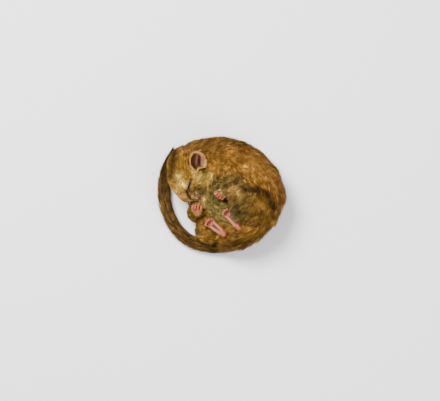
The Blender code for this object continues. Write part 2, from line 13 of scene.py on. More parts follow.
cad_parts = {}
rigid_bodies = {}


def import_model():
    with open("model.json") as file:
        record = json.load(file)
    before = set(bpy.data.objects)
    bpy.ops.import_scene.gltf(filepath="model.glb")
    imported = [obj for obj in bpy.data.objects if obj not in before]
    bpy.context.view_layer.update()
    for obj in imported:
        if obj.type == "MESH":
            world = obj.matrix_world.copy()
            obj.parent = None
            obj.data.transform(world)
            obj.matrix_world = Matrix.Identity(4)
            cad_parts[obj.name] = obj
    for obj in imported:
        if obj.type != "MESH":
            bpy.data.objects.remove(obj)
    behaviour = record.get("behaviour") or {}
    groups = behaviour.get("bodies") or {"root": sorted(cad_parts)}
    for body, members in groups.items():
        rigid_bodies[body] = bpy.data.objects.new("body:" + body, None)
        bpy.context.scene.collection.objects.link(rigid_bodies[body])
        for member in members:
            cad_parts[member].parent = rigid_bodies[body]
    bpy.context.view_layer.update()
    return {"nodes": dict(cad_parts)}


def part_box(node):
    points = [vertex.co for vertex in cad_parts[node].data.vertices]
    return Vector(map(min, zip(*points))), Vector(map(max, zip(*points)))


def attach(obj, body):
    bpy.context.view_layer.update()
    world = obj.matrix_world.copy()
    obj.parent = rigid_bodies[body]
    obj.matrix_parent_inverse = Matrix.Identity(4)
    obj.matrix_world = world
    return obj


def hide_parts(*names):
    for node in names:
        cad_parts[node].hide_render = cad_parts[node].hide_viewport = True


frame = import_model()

# Skin. One skin lies over the whole body, under the coat, so that no joint between the parts
# shows. It is the frame's own flesh, grown together and then drawn in by the depth of the coat.
# The tail's skin is a thin core, and the coat makes up the rest of its thickness.

MM = 0.001
NOSE_PLACE = Vector((-15.44, -4.65, 11.73))  # the middle of the nose in the part's drawing, in mm


def middle_of(node):
    """The middle of a part of the frame, in metres."""
    low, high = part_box(node)
    return (low + high) / 2


DRAWING_TO_FLOOR = middle_of("nose") / MM - NOSE_PLACE


def place(point):
    """A point of the part's drawing, in mm, where it is in the frame, in metres."""
    return (Vector(point) + DRAWING_TO_FLOOR) * MM


def drawn(points):
    """Points of the frame, in metres, where they are in the part's drawing, in mm."""
    return points / MM - np.array(DRAWING_TO_FLOOR)


HEAD_CENTRE = Vector((-15.8, 12.6, 12.6))
HEAD_TURN = math.radians(8.5)
HEAD_ROLL = math.radians(20)
AHEAD = Vector((-math.sin(HEAD_TURN), -math.cos(HEAD_TURN), 0))
CROWN = (-math.cos(HEAD_TURN) * math.cos(HEAD_ROLL), math.sin(HEAD_TURN) * math.cos(HEAD_ROLL))
CROWN = Vector((*CROWN, math.sin(HEAD_ROLL)))
OUT = CROWN.cross(AHEAD)


def head_place(ahead, up, out):
    """A point given ahead of, above and to the left of the head's middle, in mm."""
    return place(HEAD_CENTRE + AHEAD * ahead + CROWN * up + OUT * out)


LIP = head_place(17, -2.5, 0)  # where the coat is shortest
TRUNK = ("neck", "chest", "loin", "rump", "belly")
LIMBS = ("upper_arm_left", "forearm_left", "thigh_left", "shank_left")
LIMBS += ("upper_arm_right", "forearm_right", "thigh_right", "shank_right")
PAWS = ("forepaw_left", "forepaw_right", "hindfoot_left", "hindfoot_right")
TAIL = ("tail_root", "tail_fore", "tail_middle", "tail_hind", "tail_tip")
FLESH = ("head",) + TRUNK + LIMBS

GROWN = 0.35 * MM  # closes the cuts between the frame's parts
SKIN_GRAIN = 0.38 * MM
COAT_DEPTH = {"head": 1.15, "neck": 1.7, "chest": 1.8, "loin": 1.9, "rump": 1.9, "belly": 1.3}
COAT_DEPTH |= {"upper_arm": 1.4, "forearm": 1.0, "thigh": 1.6, "shank": 1.1}
BACK_ROUNDING = 80  # how many times the long curve of the back is smoothed
RING_CENTRE = np.array([3.2, -0.5, 0])  # the middle of the curled body in the part's drawing, in mm
TAIL_SKIN = 1.1 * MM  # half the thickness of the tail under its hair
TAIL_HOLE = 3.7 * MM  # the frame's rump has a hole this wide each way for its tail, filled here
TAIL_HOLE_END = 0.18  # as a share of the tail's length
TAIL_RINGS = 60
TAIL_SIDES = 12
TAIL_STOPS = (  # the middle of the tail in the part's drawing, from inside the rump to its end, in mm
    (13.5, -19.6, 10.6), (9.2, -23.3, 7.4), (1.4, -25.6, 4.8), (-6.6, -25.5, 3.5), (-13.5, -23.5, 3.3),
    (-19.2, -19.8, 3.3), (-23.6, -14.4, 3.3), (-26.8, -7.4, 3.3), (-28.2, 0.4, 3.3), (-27.9, 7.6, 3.4),
    (-26.6, 13.0, 3.5), (-24.9, 17.0, 3.8),
)
TAIL_LINE = np.array([place(point) for point in TAIL_STOPS])


def put_in(name, data):
    """Puts a mesh, a light or a camera in the scene."""
    obj = bpy.data.objects.new(name, data)
    bpy.context.scene.collection.objects.link(obj)
    return obj


def object_of(name, bm):
    mesh = bpy.data.meshes.new(name)
    bm.to_mesh(mesh)
    bm.free()
    return put_in(name, mesh)


def above_floor(heights, low, soft):
    """Presses what would sink into the floor softly flat above it."""
    return np.where(heights < low + soft, low + soft * np.exp((heights - low - soft) / soft), heights)


def settle(obj):
    """Applies the object's modifiers."""
    bpy.context.view_layer.update()
    changed = obj.evaluated_get(bpy.context.evaluated_depsgraph_get())
    mesh = bpy.data.meshes.new_from_object(changed)
    obj.modifiers.clear()
    obj.data = mesh


def keep_largest(obj):
    """Drops every surface but the one that covers most."""
    bm = bmesh.new()
    bm.from_mesh(obj.data)
    left = set(bm.faces)
    found = []
    while left:
        front = [left.pop()]
        island = list(front)
        while front:
            for edge in front.pop().edges:
                for other in edge.link_faces:
                    if other in left:
                        left.remove(other)
                        front.append(other)
                        island.append(other)
        found.append(island)
    found.sort(key=len)
    bmesh.ops.delete(bm, geom=[face for island in found[:-1] for face in island], context="FACES")
    bm.to_mesh(obj.data)
    bm.free()


def grow_together(obj, grain, times):
    """Makes one smooth surface out of masses that overlap."""
    remesh = obj.modifiers.new("Remesh", "REMESH")
    remesh.mode = "VOXEL"
    remesh.voxel_size = grain
    obj.modifiers.new("Smooth", "SMOOTH").iterations = times
    settle(obj)
    keep_largest(obj)


def array_of(items, attribute, width, kind=np.float64):
    values = np.empty(len(items) * width, np.int32 if kind is int else np.float32)
    items.foreach_get(attribute, values)
    return values.reshape(-1, width).astype(kind)


def spots_of(obj):
    return array_of(obj.data.vertices, "co", 3)


def normals_of(obj):
    return array_of(obj.data.vertices, "normal", 3)


def move_spots(obj, spots):
    obj.data.vertices.foreach_set("co", spots.astype(np.float32).ravel())
    obj.data.update()


def size(vectors):
    return np.linalg.norm(vectors, axis=-1)


def unit(vectors):
    return vectors / np.maximum(size(vectors), 1e-12)[..., None]


def gap_to(points, spot):
    """How far points are from a spot, in mm."""
    return size(points - np.array(spot)) / MM


def nearest(spots, asked):
    """The index of the spot that is nearest to each of those asked for."""
    tree = KDTree(len(spots))
    for index, spot in enumerate(spots):
        tree.insert(spot, index)
    tree.balance()
    return np.array([tree.find(spot)[1] for spot in asked])


def tail_curve(shares):
    """Points on the tail's middle line, from 0 at its root to 1 at its end, in metres."""
    last = len(TAIL_LINE) - 1
    along = np.clip(shares, 0, 1) * last
    index = np.minimum(along.astype(int), last - 1)
    t = (along - index)[:, None]
    before, start, end, after = (TAIL_LINE[np.clip(index + i, 0, last)] for i in (-1, 0, 1, 2))
    bend = (2 * before - 5 * start + 4 * end - after) * t**2 + (3 * start - before - 3 * end + after) * t**3
    return start + ((end - before) * t + bend) / 2


TAIL_LENGTH = float(size(np.diff(tail_curve(np.linspace(0, 1, 200)), axis=0)).sum())


def tail_points(shares):
    """Points on the tail's middle line, and straight on past its end."""
    heading = unit(TAIL_LINE[-1] - TAIL_LINE[-2])
    return tail_curve(shares) + heading * (np.maximum(shares, 1) - 1)[:, None] * TAIL_LENGTH


def tail_girth(shares):
    """How thick the tail is along its length, as a share of its thickest."""
    return (0.88 + 0.12 * np.minimum(1, shares / 0.3)) * (1 - 0.42 * np.clip((shares - 0.72) / 0.28, 0, 1))


def tail_spokes(shares, turns):
    """The directions straight out of the tail at those turns from its top."""
    heading = unit(tail_points(shares + 0.01) - tail_points(shares - 0.01))
    top = unit(np.array([0, 0, 1]) - heading * heading[:, 2:])
    return top * np.cos(turns)[:, None] + np.cross(heading, top) * np.sin(turns)[:, None]


bm = bmesh.new()
for name in FLESH + ("eye_left", "eye_right"):
    bm.from_mesh(frame["nodes"][name].data)
bmesh.ops.remove_doubles(bm, verts=bm.verts, dist=1e-6)
for spot in tail_points(np.linspace(0, TAIL_HOLE_END, 7)):
    matrix = Matrix.Translation(spot)
    bmesh.ops.create_uvsphere(bm, u_segments=24, v_segments=12, radius=TAIL_HOLE, matrix=matrix)
skin = object_of("skin", bm)
grow = skin.modifiers.new("Displace", "DISPLACE")
grow.strength = GROWN
grow.mid_level = 0
grow_together(skin, SKIN_GRAIN, 6)

# Each point of the skin belongs to the part of the frame that is nearest.
flesh = [[vert.co for vert in frame["nodes"][name].data.vertices] for name in FLESH]
owners = np.repeat(np.arange(len(FLESH)), [len(spots) for spots in flesh])
part_of = owners[nearest(sum(flesh, []), [vert.co for vert in skin.data.vertices])]


def spread_over(mesh, values, times):
    """Smooths values over the mesh from each vertex to its neighbours."""
    ends = array_of(mesh.edges, "vertices", 2, int)
    count = len(mesh.vertices)
    valence = np.maximum(np.bincount(ends.ravel(), minlength=count), 1)
    columns = values.reshape(count, -1).copy()
    for _ in range(times):
        for column in range(columns.shape[1]):
            total = np.bincount(ends[:, 0], columns[ends[:, 1], column], count)
            total += np.bincount(ends[:, 1], columns[ends[:, 0], column], count)
            columns[:, column] = 0.4 * columns[:, column] + 0.6 * total / valence
    return columns.reshape(values.shape)


def by_part(values):
    """A value for each point of the skin, from a table of the kinds of parts."""
    row = [next(values[kind] for kind in values if name.startswith(kind)) for name in FLESH]
    return np.array(row)[part_of]


points, normals = spots_of(skin), normals_of(skin)
depth = by_part(COAT_DEPTH)
depth = np.where(part_of == 0, depth * np.clip(0.22 + gap_to(points, LIP) / 16, 0, 1), depth)
for paw in PAWS:
    depth *= np.clip((gap_to(points, middle_of(paw)) - 1.5) / 5.5, 0.45, 1)
depth = spread_over(skin.data, depth, 34)
on_trunk = np.isin(part_of, [FLESH.index(name) for name in TRUNK[:4]]).astype(float)
from_ring = size((drawn(points) - RING_CENTRE)[:, :2])
on_trunk = spread_over(skin.data, on_trunk, 12) * np.clip((from_ring - 14) / 5, 0, 1)
points += (spread_over(skin.data, points, BACK_ROUNDING) - points) * on_trunk[:, None]
move_spots(skin, points - normals * (depth[:, None] * MM + GROWN))


def draw_out(bm, edges):
    """Draws edges out into new ones, and gives their points."""
    geom = bmesh.ops.extrude_edge_only(bm, edges=edges)["geom"]
    return [item for item in geom if isinstance(item, bmesh.types.BMVert)]


# The skin of the tail is a thin tube, drawn out ring by ring from a circle in the rump.
bm = bmesh.new()
ring = bmesh.ops.create_circle(bm, segments=TAIL_SIDES, radius=TAIL_SKIN)["verts"]
turns = np.arange(TAIL_SIDES) * math.tau / TAIL_SIDES
for step in range(TAIL_RINGS):
    if step:
        edges = [edge for edge in bm.edges if edge.verts[0] in ring and edge.verts[1] in ring]
        fresh = set(draw_out(bm, edges))
        ring = [
            next(edge.other_vert(old) for edge in old.link_edges if edge.other_vert(old) in fresh)
            for old in ring
        ]
    share = np.full(TAIL_SIDES, step / (TAIL_RINGS - 1) * 1.02)
    thick = TAIL_SKIN * tail_girth(np.minimum(share, 1))[:, None]
    for vert, spot in zip(ring, tail_points(share) + tail_spokes(share, turns) * thick):
        vert.co = spot
bmesh.ops.holes_fill(bm, edges=[edge for edge in bm.edges if edge.is_boundary], sides=0)
bmesh.ops.recalc_face_normals(bm, faces=bm.faces)
tail_skin = object_of("tail_skin", bm)
for obj in (skin, tail_skin):
    obj.data.shade_smooth()
    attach(obj, "root")
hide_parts(*FLESH)
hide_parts(*TAIL)

# Markings. A hazel dormouse is golden all over, with a russet back, a paler face and a buff
# belly, and its tail darkens to the tip. Painted shade lies in the folds of the legs and face, at
# the temple by the tail, under the ear, between the cheek and the arm and round the tail's root.
# Skin and coat take the same colours from here.


def colour(*card):
    """A colour as a paint card gives it, from 0 to 255, made linear."""
    return np.array([((c / 255 + 0.055) / 1.055) ** 2.4 if c > 10 else c / 255 / 12.92 for c in card])


BACK = colour(123, 86, 39)
FLANK = colour(162, 113, 44)
BELLY = colour(106, 95, 51)
HAUNCH = colour(140, 101, 41)
KNEE = colour(190, 147, 76)
CROWN_COAT = colour(148, 106, 36)
FOREHEAD = colour(224, 190, 90)
CHEEK = colour(176, 142, 68)
MUZZLE = colour(210, 160, 78)
WHISKER_PAD = colour(250, 196, 130)
FACE_SHADE = colour(36, 30, 16)
CREASE_SHADE = colour(40, 22, 11)
TAIL_COAT = colour(76, 54, 26)
TAIL_LIGHT = colour(142, 104, 51)
TAIL_DARK = colour(34, 22, 9)
LEG_CREASES = (  # painted shade in the folds of the legs, where parted fur shows darker too; each with its reach and how dark it is
    (1.0, 0.62, ((1.4, 3.3), (7.0, 6.1), (12.1, 9.3))),
    (1.1, 0.7, ((7.0, -2.0), (7.6, -5.0), (8.8, -8.6))),
    (1.8, 0.92, ((11.3, 0.9), (12.8, 1.6), (17.0, 2.2), (20.4, 0.6), (23.2, -2.8), (23.8, -6.6))),
)
TAIL_ROOT_SHADE = ((1.0, -25.0), (6.0, -23.0), (12.5, -21.5))
TEMPLE_SHADE = ((-23.7, 8.5), (-23.3, 13.5), (-22.4, 20.0))
EAR_BAND = ((-9.5, 9.2), (-3.6, 7.9))  # a pale band on the cheek, below the ear
FACE_CREASE = ((10.8, 1.5), (12.5, 0.3), (14.6, -2.4), (16.5, -5.3))  # painted shade in the groove from the eye to the lip, over a line of darker fur
BROW = ((5.2, 7.3, 6.1), (7.2, 6.1, 6.7), (9.9, 3.5, 6.6))
WHISKER_ROOTS = [
    (14.4 - 1.05 * index - 0.5 * (row % 2), -3.2 - 0.85 * row)
    for row, count in enumerate((4, 5, 5, 4))
    for index in range(count)
]


def step_between(low, high, values):
    t = np.clip((values - low) / (high - low), 0, 1)
    return t * t * (3 - 2 * t)


def blend(base, *layers):
    """Lays tones over a base, one after the other, each with its share at every point."""
    for tone, share in layers:
        share = np.asarray(share)[:, None]
        base = base * (1 - share) + tone * share
    return base


def patch(points, middle, reach):
    """1 at the middle of a soft round patch and 0 well outside it."""
    return np.exp(-((size(points - np.array(middle)) / reach) ** 2))


def near_line(points, stops, reach):
    """1 on the line through the stops, and 0 well away from it."""
    nearest_gap = np.full(len(points), 1e3)
    for start, end in zip(np.array(stops), np.array(stops[1:])):
        run = end - start
        share = np.clip((points - start) @ run / (run @ run), 0, 1)[:, None]
        nearest_gap = np.minimum(nearest_gap, size(points - start - run * share))
    return np.exp(-((nearest_gap / reach) ** 2))


def coat_colours(points):
    """The colour of the coat at points of the skin, with its painted shade."""
    q = drawn(points)
    flat = q[:, :2]
    ring = flat - RING_CENTRE[:2]
    reach = size(ring)
    angle = np.degrees(np.arctan2(ring[:, 1], ring[:, 0]))
    low = step_between(25, -25, angle) * step_between(-150, -110, angle)
    upper = step_between(10, 15, q[:, 2])
    paint = blend(
        FLANK,
        (BACK, step_between(15, 25, reach) * 0.9),
        (HAUNCH * 0.85, low * 0.7 * step_between(8, 14, reach)),
        (BELLY, step_between(16.5, 10, reach + 4 * step_between(0, 10, ring[:, 1])) * 0.9),
        (KNEE, patch(q, (7.5, 1.5, 27), 5.5) * 0.9),
        (HAUNCH * 0.8, patch(q, (16, -6, 32), 7.5) * 0.8),
        (HAUNCH * 0.65, patch(q, (-6, -19, 12), 7) * 0.8),
        (CHEEK * 0.38, patch(q, (-14.5, -9, 9), 5) * 0.8),
        *((CREASE_SHADE, near_line(flat, stops, reach) * upper * dark) for reach, dark, stops in LEG_CREASES),
        (CREASE_SHADE, near_line(flat, TAIL_ROOT_SHADE, 1.7) * 0.65),
    )
    head = q - np.array(HEAD_CENTRE)
    ahead, up, out = (head @ np.array(axis) for axis in (AHEAD, CROWN, OUT))
    face = np.stack([ahead, up, np.abs(out)], axis=1)
    profile = face[:, :2]
    side_on = step_between(1.5, 3.0, np.abs(out))
    on_head = step_between(-10, -3, ahead) * step_between(15, 13, size(head) - ahead * 0.3)
    tones = blend(
        CROWN_COAT,
        (CHEEK, step_between(4, -3, up) * 0.9),
        (FOREHEAD, near_line(face, BROW, 2.3)),
        (MUZZLE, patch(face, (13.2, 2.2, 3.0), 4.4)),
        (FACE_SHADE, patch(face, (8.9, -4.2, 7.8), 2.4) * 0.7),
        (WHISKER_PAD, patch(face, (13.9, -4.9, 4.4), 2.7) ** 0.6),
        (CREASE_SHADE, near_line(profile, FACE_CREASE, 0.8) * side_on),
    )
    for ahead, up in WHISKER_ROOTS:
        follicle = near_line(profile, ((ahead, up), (ahead + 0.1, up)), 0.22)
        tones = blend(tones, (CREASE_SHADE, follicle * side_on * 0.75))
    upper = step_between(8, 12, q[:, 2])
    return blend(
        paint,
        (tones, on_head),
        (FOREHEAD * 0.85, near_line(flat, EAR_BAND, 1.6) * upper * 0.55),
        (FACE_SHADE, patch(flat, (-8.2, 11.3), 1.5) * upper * 0.6),
        (FACE_SHADE, patch(flat, (-8.9, 1.2), 2.3) ** 0.8 * upper),
        (CREASE_SHADE, near_line(flat, TEMPLE_SHADE, 2.7) * upper * 0.85),
    )


def store(obj, name, values):
    """Keeps a value for each point of the mesh, as a colour that its material reads."""
    layer = obj.data.color_attributes.new(name, "FLOAT_COLOR", "POINT")
    rows = np.ones((len(obj.data.vertices), 4), np.float32)
    rows[:, : values.shape[1]] = values
    layer.data.foreach_set("color", rows.ravel())


# Ears. Each is a thin cup of bare-looking skin with a rolled rim, a fold inside and a notch at
# its root. It is dark inside and pale at the rim, and downy on its back.

EAR_LENGTH = 9.8
EAR_WIDTH = 8.4
EAR_DEPTH = 2.4
EAR_WALL = 0.32
EAR_ROLL = 5  # steps of the rolled rim
EAR_RIM = colour(212, 162, 108)
EAR_INSIDE = colour(66, 40, 22)
EAR_FOLD = colour(120, 78, 58)
# painted shade in the hollow beside the fold on the notch side
EAR_DEEP_SHADE = colour(22, 6, 3)
EAR_BACK = colour(158, 110, 52)
EAR_CLEARANCE = 0.12 * MM
ROLL_STEP = 0.20 * MM


def with_inputs(node, values):
    """Sets inputs of a shader's node, each called by its name with _ for spaces."""
    for key, value in values.items():
        node.inputs[key.replace("_", " ")].default_value = value
    return node


def finish(name, **values):
    """A new material, and the shader that those values are set on."""
    material = bpy.data.materials.new(name)
    material.use_nodes = True
    return material, with_inputs(material.node_tree.nodes["Principled BSDF"], values)


def add_node(material, kind, **values):
    return with_inputs(material.node_tree.nodes.new("ShaderNode" + kind), values)


def join(node, output, other, entry):
    node.id_data.links.new(node.outputs[output], other.inputs[entry])


def add_noise(material, size, detail):
    noise = add_node(material, "TexNoise", Scale=size, Detail=detail)
    join(add_node(material, "TexCoord"), "Object", noise, "Vector")
    return noise


def add_bump(material, shader, noise, strength, depth):
    bump = add_node(material, "Bump", Strength=strength, Distance=depth)
    join(noise, "Fac", bump, "Height")
    join(bump, "Normal", shader, "Normal")


def mesh_colour(material, name):
    """The colour that store() keeps on a mesh under that name."""
    paint = add_node(material, "Attribute")
    paint.attribute_name = name
    return paint


def bare_finish(name, roughness, grain, grain_depth, gloss=0.28):
    """Bare skin: its colour from the mesh, with fine wrinkles and a little light through it."""
    material, shader = finish(
        name, Roughness=roughness, Specular_IOR_Level=gloss, Subsurface_Weight=0.12,
        Subsurface_Radius=(1.0, 0.35, 0.2), Subsurface_Scale=0.0006,
    )
    join(mesh_colour(material, "skin_colour"), "Color", shader, "Base Color")
    add_bump(material, shader, add_noise(material, grain, 4), 0.7, grain_depth)
    return material


ear_skin = bare_finish("ear_skin", 0.8, 2200, 0.0002, 0.08)


def swell(value, middle, reach):
    return math.exp(-(((value - middle) / reach) ** 2))


def ear_shape(reach, breadth):
    """How far the ear's edge stands out at each height, towards the crown and towards the cheek."""
    point = 1 - 0.5 * step_between(-0.4, -1.0, reach)
    notch = step_between(-0.60, -0.44, reach)
    low_side = 0.34 + 0.80 * notch - 0.10 * step_between(0.1, 0.6, reach)
    return np.where(breadth >= 0, 0.70 + 0.13 * reach, low_side) * point


def face_out(bm):
    """Turns every face of a closed surface outwards."""
    bmesh.ops.recalc_face_normals(bm, faces=bm.faces)
    if bm.calc_volume(signed=True) < 0:
        bmesh.ops.reverse_faces(bm, faces=bm.faces)


def square_to(way, axis):
    """A direction turned square to an axis."""
    return (way - axis * way.dot(axis)).normalized()


def on_ear(name, spots):
    """Where spots are on an ear: up it and across it from -1 to 1, the share of the way out to
    its edge, and how far in front of its root in mm."""
    root, along, across, face_way = (np.array(axis) for axis in EAR_FRAMES[name])
    local = spots / MM - root
    reach = local @ along / (EAR_LENGTH / 2) - 1
    breadth = local @ across / (EAR_WIDTH / 2)
    ring_share = np.hypot(reach, breadth / ear_shape(reach, breadth))
    return reach, breadth, ring_share, local @ face_way


EAR_FRAMES = {}
EAR_BACKS = {}
for name, side in (("ear_left", 1), ("ear_right", -1)):
    root = np.array(head_place(1.7, -0.9, 9.7 * side)) / MM
    along = (AHEAD * -0.968 + CROWN * 0.22 + OUT * 0.12 * side).normalized()
    face_way = square_to(OUT * side + CROWN * 0.26 + AHEAD * 0.12, along)
    across = face_way.cross(along) * side
    EAR_FRAMES[name] = (root, along, across, face_way)
    bm = bmesh.new()
    bmesh.ops.create_uvsphere(bm, u_segments=80, v_segments=40, radius=1)
    geom = bm.verts[:] + bm.edges[:] + bm.faces[:]
    bmesh.ops.bisect_plane(
        bm, geom=geom, dist=1e-6, plane_co=(0, 0, 0), plane_no=(0, 0, 1), clear_outer=True
    )
    for vert in bm.verts:
        reach, breadth, cup = vert.co
        ring_share = math.hypot(reach, breadth)
        shape = float(ear_shape(reach, breadth))
        rim = 0.8 * (1 + cup) * (0.4 + 0.6 * abs(breadth * shape))
        fold = 0.42 * swell(ring_share, 0.66, 0.09) * (0.5 + 0.5 * reach)
        fold += 0.5 * swell(reach, -0.35, 0.12) * swell(breadth, -0.35, 0.2)
        pit = 1.0 * swell(reach, -0.5, 0.28) * swell(breadth, 0.05, 0.35)
        spot = Vector(root) + along * EAR_LENGTH / 2 * (1 + reach) + across * EAR_WIDTH / 2 * breadth * shape
        vert.co = (spot + face_way * (EAR_DEPTH * cup * (1 - 0.25 * reach) + rim + fold - pit)) * MM
    middle = (Vector(root) + along * EAR_LENGTH * 0.5) * MM
    for step in range(EAR_ROLL):
        edges = [edge for edge in bm.edges if edge.is_boundary]
        turn = math.radians(15 + 34 * step)
        for vert in draw_out(bm, edges):
            outward = square_to(vert.co - middle, face_way)
            vert.co += (outward * math.cos(turn) - face_way * math.sin(turn)) * ROLL_STEP
    bmesh.ops.recalc_face_normals(bm, faces=bm.faces)
    if sum(face_way.dot(face.normal) * face.calc_area() for face in bm.faces) < 0:
        bmesh.ops.reverse_faces(bm, faces=bm.faces)
    ear = object_of(name + "_skin", bm)
    face_points = len(ear.data.vertices)  # the wall adds those of its back after them
    wall = ear.modifiers.new("Solidify", "SOLIDIFY")
    wall.thickness = EAR_WALL * MM
    wall.offset = -1
    settle(ear)
    spots = spots_of(ear)
    spots[:, 2] = above_floor(spots[:, 2], EAR_CLEARANCE, 0.5 * MM)
    move_spots(ear, spots)
    ear.data.shade_smooth()
    reach, breadth, ring_share, _ = on_ear(name, spots_of(ear))
    flat = np.stack([reach, breadth], axis=1)
    edge = ring_share + 0.06 * step_between(0, -0.6, breadth) + 0.03 * step_between(0.3, 0.8, reach)
    EAR_BACKS[name] = (np.arange(len(spots)) >= face_points) * step_between(1.08, 0.98, ring_share)
    paints = blend(
        EAR_INSIDE,
        (EAR_FOLD, near_line(flat, ((-0.3, 0.0), (0.2, -0.08), (0.7, -0.1)), 0.13) * 0.8),
        # painted shade beside the fold on the notch side
        (EAR_DEEP_SHADE, near_line(flat, ((-0.15, -0.33), (0.2, -0.32)), 0.17) * 0.9),
        (EAR_FOLD * 1.5, step_between(-0.44, -0.66, breadth) * 0.8),
        (EAR_RIM, step_between(0.84, 0.97, edge)),
        (EAR_BACK, EAR_BACKS[name]),
    )
    store(ear, "skin_colour", paints)
    ear.data.materials.append(ear_skin)
    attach(ear, "root")
    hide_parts(name)

# Eyes. The animal sleeps with them closed: two swollen lids meet in a dark line, with bare pale
# edges, short dark lashes, and down over the rest.

EYE_RADII = (3.1, 2.4, 1.8)
SLIT_ENDS = ((5.8, 0.7, 9.2), (10.7, 1.6, 5.9))  # ahead of, above and out from the head's middle
LID_EDGE = colour(190, 130, 82)
LID_DARK = colour(22, 13, 7)
SLIT_BOW = 0.12  # how far the slit bows upwards in its middle, as a share of EYE_RADII[1]
LASH_ROOTS = 0.2  # mm above the slit
lid_skin = bare_finish("lid_skin", 0.5, 3000, 0.00008)


def on_eye(name, spots):
    """Where spots are on the lids: along the slit from -1 to 1, how far above its chord, above the
    slit itself and out from the lids' middle in mm, and how open the slit is there."""
    middle, along, across, outward, offset = EYE_FRAMES[name]
    local = spots / MM - np.array(middle)
    u, v, w = (local @ np.array(axis) for axis in (along, across, outward))
    u /= EYE_RADII[0]
    gap = v - offset - SLIT_BOW * EYE_RADII[1] * (1 - u * u)
    return u, v - offset, gap, w, np.sqrt(np.clip(1 - (u / 0.98) ** 2, 0, 1))


EYE_FRAMES = {}
for name, side in (("eye_left", 1), ("eye_right", -1)):
    middle = middle_of(name) / MM
    back_end, front_end = (head_place(ahead, up, out * side) / MM for ahead, up, out in SLIT_ENDS)
    outward = Vector(middle - head_place(8.2, 1.0, 0) / MM).normalized()
    along = square_to(front_end - back_end, outward)
    across = outward.cross(along)
    if across.dot(CROWN) < 0:
        across = -across
    offset = ((front_end + back_end) / 2 - middle).dot(across)
    EYE_FRAMES[name] = (middle, along, across, outward, offset)
    bm = bmesh.new()
    turn = Matrix.Rotation(math.radians(90), 4, "Y")
    bmesh.ops.create_uvsphere(bm, u_segments=160, v_segments=64, radius=1, matrix=turn)
    for vert in bm.verts:
        u, v, w = vert.co
        gap = (v - offset / EYE_RADII[1] - SLIT_BOW * (1 - u * u)) * EYE_RADII[1]
        ends = math.sqrt(max(0.0, 1 - u * u))
        lift = 0.0
        if w > 0:
            lift -= 0.5 * swell(gap, 0, 0.2) * min(1, ends * 1.8)
            lift += 0.20 * swell(gap, 0.55, 0.25) * ends + 0.13 * swell(gap, -0.45, 0.2) * ends
            lift -= 0.12 * swell(gap, 1.1, 0.2) * ends
        spot = along * EYE_RADII[0] * u + across * EYE_RADII[1] * v
        vert.co = (middle + spot * 1.02 + outward * (EYE_RADII[2] * w * 0.86 + lift - 0.25)) * MM
    face_out(bm)
    lids = object_of(name + "_lids", bm)
    lids.data.shade_smooth()
    u, _, gap, _, taper = on_eye(name, spots_of(lids))
    edge = np.where(gap > 0, step_between(1.3, 0.9, gap), step_between(-0.9, -0.6, gap)) * (taper > 0)
    dark = np.exp(-((gap / (0.25 + 0.5 * taper)) ** 6)) * step_between(1.0, 0.93, np.abs(u))
    store(lids, "skin_colour", blend(coat_colours(spots_of(lids)), (LID_EDGE, edge), (LID_DARK, dark)))
    lids.data.materials.append(lid_skin)
    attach(lids, "root")
    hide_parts(name)

# Nose. The bare tip of the muzzle, with a comma of a nostril on each side and a cleft down to
# the lip. It is moist, finely pebbled skin.

NOSE_SKIN = colour(84, 46, 32)
# painted shade for the nostrils and the cleft
NOSTRIL_SHADE = colour(30, 16, 12)
middle = middle_of("nose") / MM
bm = bmesh.new()
turn = Matrix((AHEAD, OUT, CROWN)).transposed().to_4x4()
bmesh.ops.create_uvsphere(bm, u_segments=96, v_segments=64, radius=1)
nostril_shade = []
for vert in bm.verts:
    ahead, out, up = vert.co
    lobes = 0.16 * swell(abs(out), 0.6, 0.35)
    hole = swell(abs(out) - 0.06 * up, 0.55, 0.17) * (ahead > 0.1)
    hole *= swell(up, 0.12 + 0.3 * (abs(out) - 0.5), 0.17)
    cleft = swell(out, 0, 0.08) * (0.35 if up > 0 else 1) * (ahead > 0)
    # painted shade in the nostrils' dents and down the cleft
    nostril_shade.append(min(1, hole * 1.3 + cleft * 0.6))
    push = lobes - 0.45 * hole - 0.16 * cleft
    shape = Vector((ahead * 0.95, out * 1.25 * (1 - 0.25 * (up < 0) * -up), up * 1.15))
    vert.co = (middle + turn @ (shape * (1 + push * 0.6)) - AHEAD * 0.15) * MM
face_out(bm)
nose = object_of("nose_tip", bm)
nose.data.shade_smooth()
store(nose, "skin_colour", blend(NOSE_SKIN, (NOSTRIL_SHADE, nostril_shade)))
nose.data.materials.append(bare_finish("nose_skin", 0.38, 5200, 0.00006))
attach(nose, "root")
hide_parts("nose")

# Paws. Bare pink skin over the digits, with round pads and wrinkles on the palms and soles. The
# four of them are clasped in sleep. Each digit ends in a small sharp claw of clear horn.

PAW_GRAIN = 0.12 * MM
PAW_SKIN = colour(168, 100, 74)
PAW_FLUSH = colour(152, 46, 26)
# painted shade for the clefts and creases of the paws
PAW_CREASE_SHADE = colour(44, 20, 13)
CLAW_HORN = colour(172, 130, 96)
paw_skin = bare_finish("paw_skin", 0.52, 3400, 0.0002)
horn, _ = finish("claw_horn", Base_Color=(*CLAW_HORN, 1), Roughness=0.3)

ball = bmesh.new()
bmesh.ops.create_icosphere(ball, subdivisions=2, radius=1)
BALL = [vert.co.copy() for vert in ball.verts]
ball.free()


def mass(centre, radii, ahead=(1, 0, 0), up=(0, 0, 1)):
    """Where one rounded mass lies, with its first radius along ahead and its third along up."""
    radii = (radii,) * 3 if isinstance(radii, float) else radii
    first = Vector(ahead).normalized()
    second = Vector(up).cross(first).normalized()
    turn = Matrix((first, second, first.cross(second))).transposed().to_4x4()
    return Matrix.Translation(place(centre)) @ turn @ Matrix.Diagonal((*(Vector(radii) * MM), 1))


